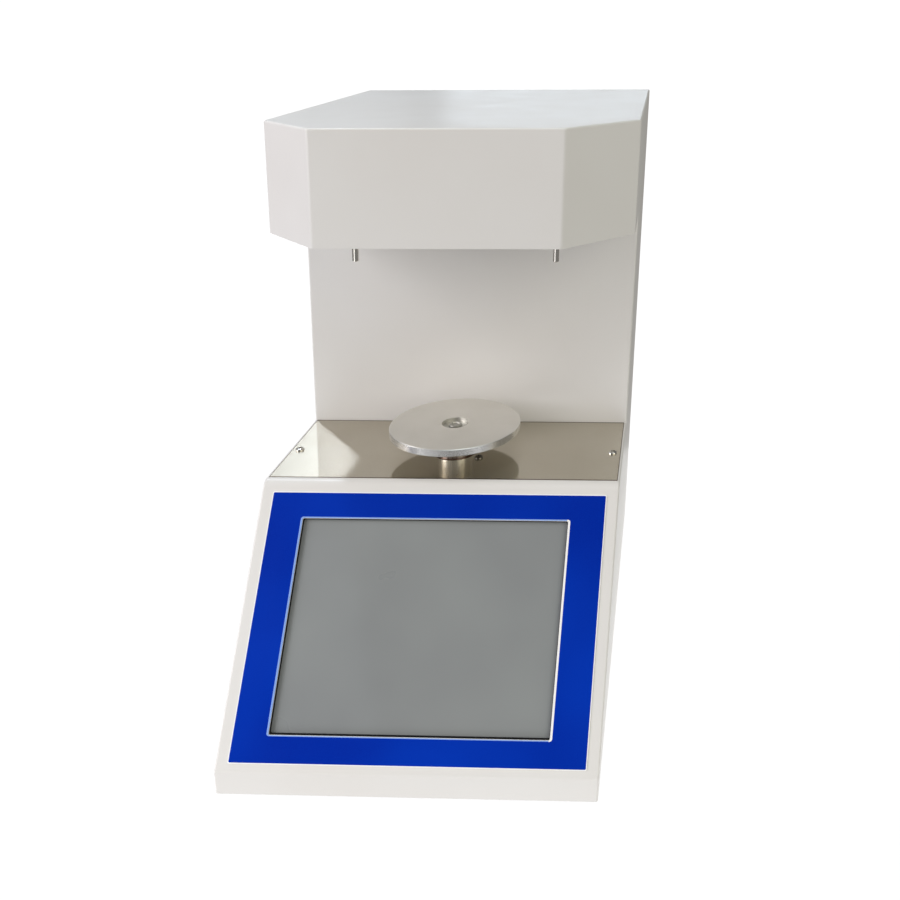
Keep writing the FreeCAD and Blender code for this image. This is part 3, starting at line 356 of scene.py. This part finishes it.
def powder_coat():
    """White powder coat: fine orange peel, sheet that is a little wavy, and a tone that drifts."""
    f = Finish("white_powder_coat", (0.80, 0.79, 0.775), 0.36)
    f.colour(f.between(f.noise(7, 3), (0.785, 0.770, 0.752), (0.815, 0.808, 0.798)))
    f.gloss(f.noise(45, 4), 0.28, 0.44, 0.1, 0.9)
    f.relief(f.noise(14, 2), 0.00005)
    f.relief(f.noise(900, 2), 0.000012)
    return f.material


def mirror_steel():
    """Mirror-polished sheet: a warm grey metal that is not quite flat.  Between its polished spots are
    brushed ones too fine to see, which spread light from front to back.  A spot is brushed where the
    finest noise passes a threshold.  Along its border a dark brown band is painted shade, standing for
    the shadow and dark reflection at the sheet's edge."""
    f = Finish("mirror_polished_steel", (0.60, 0.56, 0.47), 0.1, metal=1.0)
    threshold = (0.53, 0.54)
    smudge = f.noise(16, 5, rough=0.6)
    spots = f.noise(1, 1, stretch=(9000, 9000, 9000))
    low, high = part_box("deck_plate")
    split = f.add("ShaderNodeSeparateXYZ")
    f.link(f.place, split.inputs["Vector"])
    bands = []
    for axis, start, end, width in (("X", low.x, high.x, DECK_SHADE_BAND_X), ("Y", low.y, high.y, DECK_SHADE_BAND_Y)):
        offset = f.maths(f.maths(split.outputs[axis], -(start + end) / 2), 0, "ABSOLUTE")
        bands.append(f.maths(offset, (end - start) / 2 - width, "GREATER_THAN"))
    steel = f.between(smudge, (0.585, 0.54, 0.45), (0.62, 0.58, 0.495))
    # painted shade: inside the border bands the deck is coloured dark brown for the shadow and dark
    # reflection at its edge
    f.colour(f.between(f.maths(*bands, "MAXIMUM"), steel, (0.20, 0.16, 0.12), 0, 1))
    f.gloss(spots, 0.09, 0.36, *threshold)
    f.link(f.levels(spots, 0, 1, *threshold), f.shader.inputs["Anisotropic"])
    across = f.add("ShaderNodeCombineXYZ")
    across.inputs["Y"].default_value = 1.0
    f.link(across.outputs["Vector"], f.shader.inputs["Tangent"])
    f.relief(f.noise(9, 1), 0.00025)
    return f.material


def blasted_aluminium():
    """Clear-anodised aluminium disc: bead-blasted faces with an even fine grain, a bright turned rim
    that is streaked along its edge, and a turned recess in the middle."""
    f = Finish("bead_blasted_aluminium", (0.78, 0.765, 0.72), 0.46, metal=1.0)
    grain = f.noise(5200, 2)
    split = f.add("ShaderNodeSeparateXYZ")
    f.link(f.stretched(shift=(0, -LIFT_AXIS[1], 0)), split.inputs["Vector"])
    reach = f.maths(f.maths(split.outputs["X"], 2, "POWER"), f.maths(split.outputs["Y"], 2, "POWER"))
    reach = f.maths(reach, 0.5, "POWER")
    rim = f.levels(reach, 0, 1, DISC_RIM, DISC_RIM + SOFT_STEP)
    recess = f.levels(reach, 1, 0, DISC_RECESS, DISC_RECESS + SOFT_STEP)
    streaks = f.noise(1, 2, stretch=(260, 260, 2600))
    face = f.between(f.noise(30, 3), (0.755, 0.74, 0.695), (0.80, 0.785, 0.745))
    edge = f.between(streaks, (0.88, 0.88, 0.87), (0.98, 0.98, 0.97))
    face = f.between(recess, face, (0.50, 0.495, 0.455), 0, 1)
    f.colour(f.between(rim, face, edge, 0, 1))
    added_at_rim, added_in_recess = -0.20, -0.04
    rough = f.maths(f.levels(grain, 0.42, 0.52), f.maths(rim, added_at_rim, "MULTIPLY"))
    f.link(f.maths(rough, f.maths(recess, added_in_recess, "MULTIPLY")), f.shader.inputs["Roughness"])
    f.relief(grain, 0.000012)
    return f.material


def drawn_aluminium():
    """Drawn aluminium bar, clear-anodised: satin, with faint lines along its length."""
    f = Finish("drawn_aluminium", (0.90, 0.885, 0.85), 0.3, metal=1.0)
    lines = f.noise(1, 2, stretch=(2800, 2800, 24))
    f.colour(f.between(f.noise(40, 3), (0.88, 0.865, 0.83), (0.93, 0.915, 0.88)))
    f.gloss(lines, 0.25, 0.34)
    f.relief(lines, 0.000005)
    return f.material


def milled_aluminium():
    """Milled aluminium plate: close parallel tool marks under a satin anodised skin."""
    f = Finish("milled_aluminium", (0.66, 0.66, 0.655), 0.36, metal=1.0)
    marks = f.noise(1, 2, stretch=(40, 2600, 2600))
    f.colour(f.between(f.noise(24, 3), (0.64, 0.64, 0.635), (0.69, 0.69, 0.685)))
    f.gloss(marks, 0.3, 0.44)
    f.relief(marks, 0.000006)
    return f.material


def turned_steel():
    """Turned and polished stainless rod: rings along its length."""
    f = Finish("turned_stainless_steel", (0.63, 0.61, 0.57), 0.17, metal=1.0)
    rings = f.noise(1, 2, stretch=(60, 60, 5200))
    f.colour(f.between(f.noise(60, 3), (0.60, 0.58, 0.54), (0.66, 0.645, 0.61)))
    f.gloss(rings, 0.11, 0.24)
    f.relief(rings, 0.0000025)
    return f.material


def ground_steel():
    """Ground stainless pin: bright, with fine rings that blur what it mirrors a little."""
    f = Finish("ground_stainless_steel", (0.82, 0.79, 0.74), 0.16, metal=1.0)
    rings = f.noise(1, 2, stretch=(60, 60, 9000))
    f.colour(f.between(f.noise(90, 3), (0.80, 0.77, 0.72), (0.85, 0.82, 0.77), 0.1, 0.9))
    f.gloss(rings, 0.12, 0.20)
    f.relief(rings, 0.0000004)
    return f.material


def screw_steel():
    """Bright screw steel: cold-formed skin with fine marks and a few duller spots."""
    f = Finish("bright_screw_steel", (0.64, 0.625, 0.585), 0.22, metal=1.0)
    f.colour(f.between(f.noise(500, 3), (0.58, 0.565, 0.525), (0.68, 0.665, 0.63)))
    f.gloss(f.noise(1400, 3), 0.16, 0.32)
    f.relief(f.noise(2600, 2), 0.000004)
    return f.material


def brushed_screw():
    """Screw head with a brushed, greyed face."""
    f = Finish("brushed_screw_steel", (0.46, 0.455, 0.42), 0.42, metal=1.0)
    lines = f.noise(1, 2, stretch=(300, 3000, 3000))
    f.colour(f.between(f.noise(600, 3), (0.42, 0.415, 0.38), (0.50, 0.495, 0.46)))
    f.gloss(lines, 0.36, 0.50)
    f.relief(lines, 0.000006)
    return f.material


def screw_steel_with_painted_shade():
    """Screw steel coloured dark as painted shade, for screws that sit in the shade under the disc: oily,
    and a little worn to grey.
    """
    f = Finish("screw_steel_with_painted_shade", (0.16, 0.15, 0.13), 0.22, metal=1.0)
    # painted shade: the dark colour stands for the shade under the disc
    f.colour(f.between(f.noise(700, 3), (0.12, 0.112, 0.10), (0.21, 0.195, 0.17)))
    f.gloss(f.noise(1400, 3), 0.17, 0.28)
    f.relief(f.noise(2600, 2), 0.000004)
    return f.material


def zinc_sheet():
    """Zinc-coated sheet steel: overlapping spangles of slightly different grey."""
    f = Finish("zinc_coated_sheet", (0.52, 0.53, 0.54), 0.42, metal=1.0)
    spangle = f.cells(240, output="Color")
    split = f.add("ShaderNodeSeparateColor")
    f.link(spangle, split.inputs["Color"])
    f.colour(f.between(split.outputs["Red"], (0.46, 0.47, 0.48), (0.58, 0.59, 0.60), 0, 1))
    f.gloss(split.outputs["Green"], 0.34, 0.50, 0, 1)
    f.relief(f.noise(600, 3), 0.000008)
    return f.material


def printed_film():
    """Printed polyester overlay: deep blue ink inside a fine unprinted border, under a satin texture.
    The pattern's place is turned and shifted so that its X and Y lie in the film, from the panel's
    middle."""
    f = Finish("blue_printed_film", (0.001, 0.028, 0.40), 0.33, Specular_IOR_Level=0.04)
    ink = f.between(f.noise(10, 2), (0.0008, 0.021, 0.345), (0.0014, 0.036, 0.455))
    ink = f.between(f.levels(f.noise(3200, 2), 0, 0.25), ink, (0.002, 0.05, 0.55), 0, 1)
    c, s = math.cos(TILT), math.sin(TILT)
    y, z = PANEL_MIDDLE[1], PANEL_MIDDLE[2]
    shift = (0, -(y * c + z * s), -(-y * s + z * c))
    split = f.add("ShaderNodeSeparateXYZ")
    f.link(f.stretched(turn=(-TILT, 0, 0), shift=shift), split.inputs["Vector"])

    def beyond(size, middle, corner):
        """Distance outside a rectangle with rounded corners, negative inside it."""
        squares = []
        for i, axis in enumerate("XY"):
            offset = f.maths(f.maths(split.outputs[axis], -middle[i] * MM), 0, "ABSOLUTE")
            gap = f.maths(f.maths(offset, (corner - size[i] / 2) * MM), 0, "MAXIMUM")
            squares.append(f.maths(gap, 2, "POWER"))
        return f.maths(f.maths(f.maths(*squares), 0.5, "POWER"), -corner * MM)

    outer = f.maths(beyond(INK_SIZE, INK_MIDDLE, INK_CORNER), 0, "GREATER_THAN")
    inner = f.maths(beyond(OPENING_SIZE, OPENING_MIDDLE, OPENING_CORNER), 0, "LESS_THAN")
    right_side = f.maths(split.outputs["X"], (OPENING_SIZE[0] / 2 - 2.5) * MM, "GREATER_THAN")
    ink = f.between(inner, ink, f.between(right_side, (0.26, 0.42, 0.86), (1, 1, 1), 0, 1), 0, 1)
    f.colour(f.between(outer, ink, (0.97, 0.98, 1.0), 0, 1))
    f.gloss(f.noise(26, 3), 0.29, 0.38)
    f.relief(f.noise(2400, 2), 0.0000045)
    return f.material


def anti_glare_glass():
    """Switched-off touch screen: a grey under an etched face, with soft clouds of lighter and darker grey
    painted in as reflections.
    """
    f = Finish("grey_anti_glare_screen", (0.27, 0.285, 0.29), 0.34)
    # painted reflection: the soft clouds of lighter and darker grey in the colour
    f.colour(f.between(f.noise(13, 2), (0.230, 0.242, 0.252), (0.298, 0.318, 0.320), 0.1, 0.9))
    f.gloss(f.noise(20, 3), 0.23, 0.41, 0.1, 0.9)
    f.relief(f.noise(5200, 2), 0.000004)
    return f.material


def foam():
    """Black closed-cell foam: small round cells."""
    f = Finish("black_cell_foam", (0.006, 0.006, 0.006), 0.9, Specular_IOR_Level=0.2)
    cell = f.cells(2600)
    f.colour(f.between(cell, (0.003, 0.003, 0.003), (0.010, 0.010, 0.010), 0, 0.8))
    f.relief(cell, 0.00006)
    return f.material


def rubber():
    """Moulded black rubber: dull, faintly dusty, with a fine grain."""
    f = Finish("black_moulded_rubber", (0.022, 0.022, 0.022), 0.72)
    f.colour(f.between(f.noise(90, 4), (0.016, 0.016, 0.016), (0.034, 0.033, 0.032)))
    f.gloss(f.noise(200, 3), 0.62, 0.82)
    f.relief(f.noise(1800, 2), 0.00001)
    return f.material


def moulded_plastic():
    """Black moulded plastic: spark-eroded grain with a low sheen."""
    f = Finish("black_moulded_plastic", (0.02, 0.02, 0.021), 0.45)
    grain = f.noise(2600, 2)
    f.colour(f.between(f.noise(80, 2), (0.017, 0.017, 0.018), (0.026, 0.026, 0.027)))
    f.gloss(grain, 0.38, 0.54)
    f.relief(grain, 0.000012)
    return f.material


def sintered_bronze_painted_shade():
    """Oil-filled sintered bronze: brown metal, mottled and full of pores, coloured far darker than bronze
    as painted shade for the bush seen in the shade under the disc.
    """
    f = Finish("sintered_bronze_painted_shade", (0.10, 0.045, 0.022), 0.4, metal=1.0)
    # painted shade: the very dark brown stands for the shade under the disc
    f.colour(f.between(f.noise(420, 4), (0.07, 0.03, 0.014), (0.14, 0.065, 0.032)))
    f.gloss(f.noise(700, 3), 0.3, 0.5)
    f.relief(f.cells(4200), 0.000015)
    return f.material


def turned_brass():
    """Turned brass: warm yellow with close rings."""
    f = Finish("turned_brass", (0.72, 0.52, 0.22), 0.24, metal=1.0)
    rings = f.noise(1, 2, stretch=(4200, 4200, 4200))
    f.colour(f.between(f.noise(140, 3), (0.66, 0.46, 0.18), (0.78, 0.58, 0.27)))
    f.gloss(rings, 0.18, 0.32)
    f.relief(rings, 0.000003)
    return f.material


def circuit_board():
    """Green lacquered board: copper tracks show as paler runs on a grid."""
    f = Finish("green_circuit_board", (0.02, 0.16, 0.06), 0.36)
    tracks = f.cells(420, feature="DISTANCE_TO_EDGE", stretch=(1, 1, 0.35))
    f.colour(f.between(tracks, (0.05, 0.26, 0.11), (0.012, 0.12, 0.045), 0.02, 0.1))
    f.gloss(f.noise(60, 3), 0.28, 0.42)
    f.relief(tracks, 0.00003)
    return f.material


def laminated_steel():
    """Motor case: black-oxide stack of thin laminations between two end caps."""
    f = Finish("laminated_motor_steel", (0.10, 0.10, 0.105), 0.44, metal=1.0)
    sheets = f.bands(310)
    f.colour(f.between(sheets, (0.06, 0.06, 0.064), (0.17, 0.17, 0.175), 0, 1))
    f.gloss(f.noise(300, 3), 0.36, 0.54)
    f.relief(sheets, 0.00006)
    return f.material


def tinned_frame():
    """Tin-plated display frame: soft grey with rolling marks."""
    f = Finish("tinned_display_frame", (0.36, 0.36, 0.365), 0.4, metal=1.0)
    roll = f.noise(1, 3, stretch=(18, 1400, 1400))
    f.colour(f.between(roll, (0.32, 0.32, 0.325), (0.40, 0.40, 0.405)))
    f.gloss(roll, 0.32, 0.48)
    f.relief(roll, 0.000005)
    return f.material


def enamelled_case():
    """Supply case: grey hammered enamel."""
    f = Finish("grey_enamelled_case", (0.30, 0.31, 0.32), 0.4)
    dimple = f.cells(420, feature="SMOOTH_F1")
    f.colour(f.between(dimple, (0.25, 0.26, 0.27), (0.34, 0.35, 0.36), 0, 0.7))
    f.gloss(f.noise(180, 3), 0.3, 0.48)
    f.relief(dimple, 0.00006)
    return f.material


def mark_ink():
    """White marking ink, a little uneven."""
    f = Finish("white_marking_ink", (0.78, 0.78, 0.76), 0.5)
    f.colour(f.between(f.noise(2400, 3), (0.70, 0.70, 0.68), (0.84, 0.84, 0.82)))
    f.gloss(f.noise(1800, 2), 0.42, 0.6)
    f.relief(f.noise(3000, 2), 0.000006)
    return f.material


# ------------------------------------------------------------------ finish of every CAD node
white, mirror, blasted, milled = powder_coat(), mirror_steel(), blasted_aluminium(), milled_aluminium()
rod, screw_metal, zinc, film = turned_steel(), screw_steel(), zinc_sheet(), printed_film()
glass, foam_black, rubber_black, plastic = anti_glare_glass(), foam(), rubber(), moulded_plastic()
bronze_painted_shade, brass, board, motor = sintered_bronze_painted_shade(), turned_brass(), circuit_board(), laminated_steel()
tinned, enamel, ink, drawn = tinned_frame(), enamelled_case(), mark_ink(), drawn_aluminium()
screws_painted_in_shade, dull_metal, ground = screw_steel_with_painted_shade(), brushed_screw(), ground_steel()

FINISH_OF = {
    white: "base_housing column_housing head_cover head_floor rear_panel",
    mirror: "deck_plate",
    blasted: "platform_disc",
    milled: "lift_carriage lift_top_plate lift_base_plate sensor_shelf cell_spacer load_cell sensor_flag",
    drawn: "platform_post",
    ground: "hanger_pins",
    rod: "guide_rods lead_screw hook_stem suspension_hook overload_stop stop_rings",
    screw_metal: "head_floor_screws pan_screws foot_screws rear_screws deck_screws display_nuts "
                 "post_screws lift_screws cell_screws pin_nuts inlet_screws jack_posts",
    dull_metal: "platform_screw",
    screws_painted_in_shade: "bush_screws",
    zinc: "base_pan chassis_column display_frame",
    film: "panel_film",
    glass: "touch_panel",
    foam_black: "screen_gasket",
    tinned: "display_module serial_port",
    rubber_black: "rubber_feet",
    plastic: "power_inlet switch_frame power_rocker end_sensors board_components",
    bronze_painted_shade: "post_bush guide_bushes lift_nut",
    brass: "inlet_blades board_standoffs",
    board: "control_board amplifier_board sensor_strip",
    motor: "lift_motor",
    enamel: "power_supply",
}
for finish, names in FINISH_OF.items():
    for name in names.split():
        mesh = nodes[name].data
        mesh.materials.clear()
        mesh.materials.append(finish)
missed = set(nodes) - {n for names in FINISH_OF.values() for n in names.split()}
assert not missed, f"no finish for {sorted(missed)}"

# ------------------------------------------------------------------ new pieces
M3_BUTTON = (2.75 * MM, 1.65 * MM, 1.45 * MM)                  # head radius, head height, shank radius
M4_FLAT = (4.2 * MM, 1.6 * MM, 1.95 * MM)
SMALL_CROSS, CROSS_DEPTH = cross_outline(1.55 * MM, 0.31 * MM), 0.9 * MM
HEXAGON, HEXAGON_DEPTH = hexagon_outline(2.4 * MM), 0.8 * MM
UP, DOWN, BACKWARDS = (0, 0, 1), (0, 0, -1), (0, 1, 0)
for name, way, metal in (("deck_screws", UP, screw_metal), ("rear_screws", BACKWARDS, screw_metal),
                         ("inlet_screws", BACKWARDS, screw_metal), ("pan_screws", DOWN, screw_metal),
                         ("head_floor_screws", DOWN, screw_metal), ("bush_screws", UP, screws_painted_in_shade)):
    dressed_screws(name, way, M3_BUTTON, SMALL_CROSS, CROSS_DEPTH, metal, "instrument")
dressed_screws("platform_screw", UP, M4_FLAT, HEXAGON, HEXAGON_DEPTH, dull_metal, "lift", curve=6)

THREAD_DEPTH, THREAD_LEAD, THREAD_STARTS = 0.6 * MM, 8 * MM, 4
low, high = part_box("lead_screw")
thread = threaded_rod(high.x - LIFT_AXIS[0], THREAD_DEPTH, THREAD_LEAD, THREAD_STARTS, low.z, high.z)
make_piece("lead_screw_thread", thread, rod, "lead_screw", smooth=60, stands_for=("lead_screw",))

# The rocker's two faces: a point on each, and how much y grows with height.
UPPER_FACE, UPPER_SLOPE = np.array([12.0, 169.928, 56.967]) * MM, 0.0301
LOWER_FACE, LOWER_SLOPE = np.array([12.0, 170.902, 50.035]) * MM, -0.3196
MARK_THICKNESS = 0.05 * MM
bar = rounded_loop(0.35 * MM, 1.8 * MM, 0.3)
outer, inner = rounded_loop(1.45 * MM, 1.7 * MM, 1), rounded_loop(0.95 * MM, 1.2 * MM, 1)
make_piece("rocker_bar_mark", bar_mark(bar, UPPER_FACE, UPPER_SLOPE, MARK_THICKNESS), ink, "rocker")
make_piece("rocker_ring_mark", ring_mark(outer, inner, LOWER_FACE, LOWER_SLOPE, MARK_THICKNESS), ink,
           "rocker")

# ------------------------------------------------------------------ floor
FLOOR_REACH, FLOOR_POINTS, FLOOR_HEIGHT = 0.32, 9, -0.2 * MM


def floor_grid(reach, count):
    """Level grid just under the feet: x and y run evenly over the reach and z is constant."""
    line = np.linspace(-reach, reach, count)
    x, y = np.meshgrid(line, line, indexing="ij")
    points = np.stack([x, y, np.full_like(x, FLOOR_HEIGHT)], axis=-1).reshape(-1, 3)
    row, column = np.meshgrid(np.arange(count - 1), np.arange(count - 1), indexing="ij")
    corner = row * count + column
    quads = np.stack([corner, corner + count, corner + count + 1, corner + 1], axis=-1)
    return points, quads.reshape(-1, 4)


def floor_finish():
    """Pale, even table that glows and shows only soft shade."""
    f = Finish("pale_floor", (0.10, 0.10, 0.10), 0.85, Emission_Strength=0.96, Specular_IOR_Level=0.0)
    f.shader.inputs["Emission Color"].default_value = (1, 1, 1, 1)
    return f.material


points, faces = floor_grid(FLOOR_REACH, FLOOR_POINTS)
mesh = bpy.data.meshes.new("floor")
mesh.from_pydata(points.tolist(), [], faces.tolist())
mesh.materials.append(floor_finish())
floor = bpy.data.objects.new("floor", mesh)
bpy.context.scene.collection.objects.link(floor)

# ------------------------------------------------------------------ light
# The world lights the scene with a dim sky, and the camera sees a white backdrop in its place.
SKY_STRENGTH, BACKDROP_STRENGTH = 0.195, 1.05
scene = bpy.context.scene
scene.view_settings.view_transform = "Standard"
scene.view_settings.look = "None"

world = bpy.data.worlds.new("studio")
scene.world = world
world.use_nodes = True
wires = world.node_tree
sky = wires.nodes["Background"]
sky.inputs["Color"].default_value = (1.0, 0.985, 0.965, 1)
sky.inputs["Strength"].default_value = SKY_STRENGTH
backdrop = wires.nodes.new("ShaderNodeBackground")
backdrop.inputs["Color"].default_value = (1, 1, 1, 1)
backdrop.inputs["Strength"].default_value = BACKDROP_STRENGTH
seen = wires.nodes.new("ShaderNodeLightPath")
blend = wires.nodes.new("ShaderNodeMixShader")
wires.links.new(seen.outputs["Is Camera Ray"], blend.inputs[0])
wires.links.new(sky.outputs["Background"], blend.inputs[1])
wires.links.new(backdrop.outputs["Background"], blend.inputs[2])
wires.links.new(blend.outputs["Shader"], wires.nodes["World Output"].inputs["Surface"])


def softbox(name, place, aim, size, radiance, colour=(1, 1, 1)):
    """Rectangular soft light, facing its aim and hidden from the camera.  Its power is four times its
    area times its radiance."""
    lamp = bpy.data.lights.new(name, "AREA")
    lamp.shape = "RECTANGLE"
    lamp.size, lamp.size_y = size
    lamp.energy = 4 * size[0] * size[1] * radiance
    lamp.color = colour
    holder = bpy.data.objects.new(name, lamp)
    holder.location = place
    way = Vector(aim) - Vector(place)
    holder.rotation_euler = way.to_track_quat("-Z", "Y").to_euler()
    holder.visible_camera = False
    scene.collection.objects.link(holder)


softbox("overhead_softbox", (0.25, -0.25, 1.5), (0, -0.1, 0.2), (1.1, 0.9), 0.78, (0.90, 0.97, 0.95))
softbox("low_left_card", (-0.8, -1.5, -0.06), (-0.05, -0.05, 0.3), (0.9, 0.34), 1.2)
softbox("left_softbox", (-1.5, -0.75, 0.85), (0, -0.05, 0.25), (1.1, 1.1), 5.1, (1, 0.965, 0.98))
softbox("right_softbox", (1.4, -1.1, 0.95), (0, -0.05, 0.25), (1.5, 1.5), 1.5, (1, 0.96, 0.82))
softbox("back_left_softbox", (-0.85, 1.65, 1.08), (-0.1, 0, 0.16), (0.8, 0.55), 1.1, (0.88, 0.94, 1))
softbox("back_softbox", (-0.2, 2.6, 0.6), (0, 0, 0.37), (0.74, 0.4), 2.0, (0.83, 0.92, 1))
softbox("high_back_lamp", (-0.706, 0.763, 2.107), (-0.075, -0.04, 0.16), (0.08, 0.08), 380,
        (0.8, 0.88, 1))

# ------------------------------------------------------------------ camera
# A lens set off the picture's centre: the sideways and upward part of the view, and the slight skew,
# stand in the camera's own axes, so that the lens itself has no shift.
AZIMUTH, ELEVATION, ROLL = 0.03735, 0.31606, -0.00622          # in radians
PLACE = (0.12333, -0.62928, 0.43670)
FRAME, SENSOR = 900, 36.0                                      # width in pixels and in millimetres
FOCAL, SKEW = 1000.98, -0.05875                                # focal length in the same pixels
ASIDE, ABOVE = 165.82, -117.52                                 # frame's centre to the lens axis
way = np.array([-math.sin(AZIMUTH) * math.cos(ELEVATION), math.cos(AZIMUTH) * math.cos(ELEVATION),
                -math.sin(ELEVATION)])
level = np.array([math.cos(AZIMUTH), math.sin(AZIMUTH), 0.0])
upright = np.cross(level, way)
right = math.cos(ROLL) * level + math.sin(ROLL) * upright
up = -math.sin(ROLL) * level + math.cos(ROLL) * upright
back = (ASIDE - SKEW * ABOVE) / FOCAL * right - ABOVE / FOCAL * up - way

axes = np.eye(4)
axes[:3, 0] = right
axes[:3, 1] = up + SKEW * right
axes[:3, 2] = back
axes[:3, 3] = PLACE
camera = bpy.data.cameras.new("camera")
holder = bpy.data.objects.new("camera", camera)
stand = bpy.data.objects.new("camera_stand", None)
scene.collection.objects.link(holder)
scene.collection.objects.link(stand)
holder.parent = stand
holder.matrix_parent_inverse = Matrix(axes.tolist())
camera.sensor_width = SENSOR
camera.lens = SENSOR * FOCAL / FRAME * float(np.linalg.norm(back))
camera.clip_start, camera.clip_end = 0.01, 100
scene.camera = holder
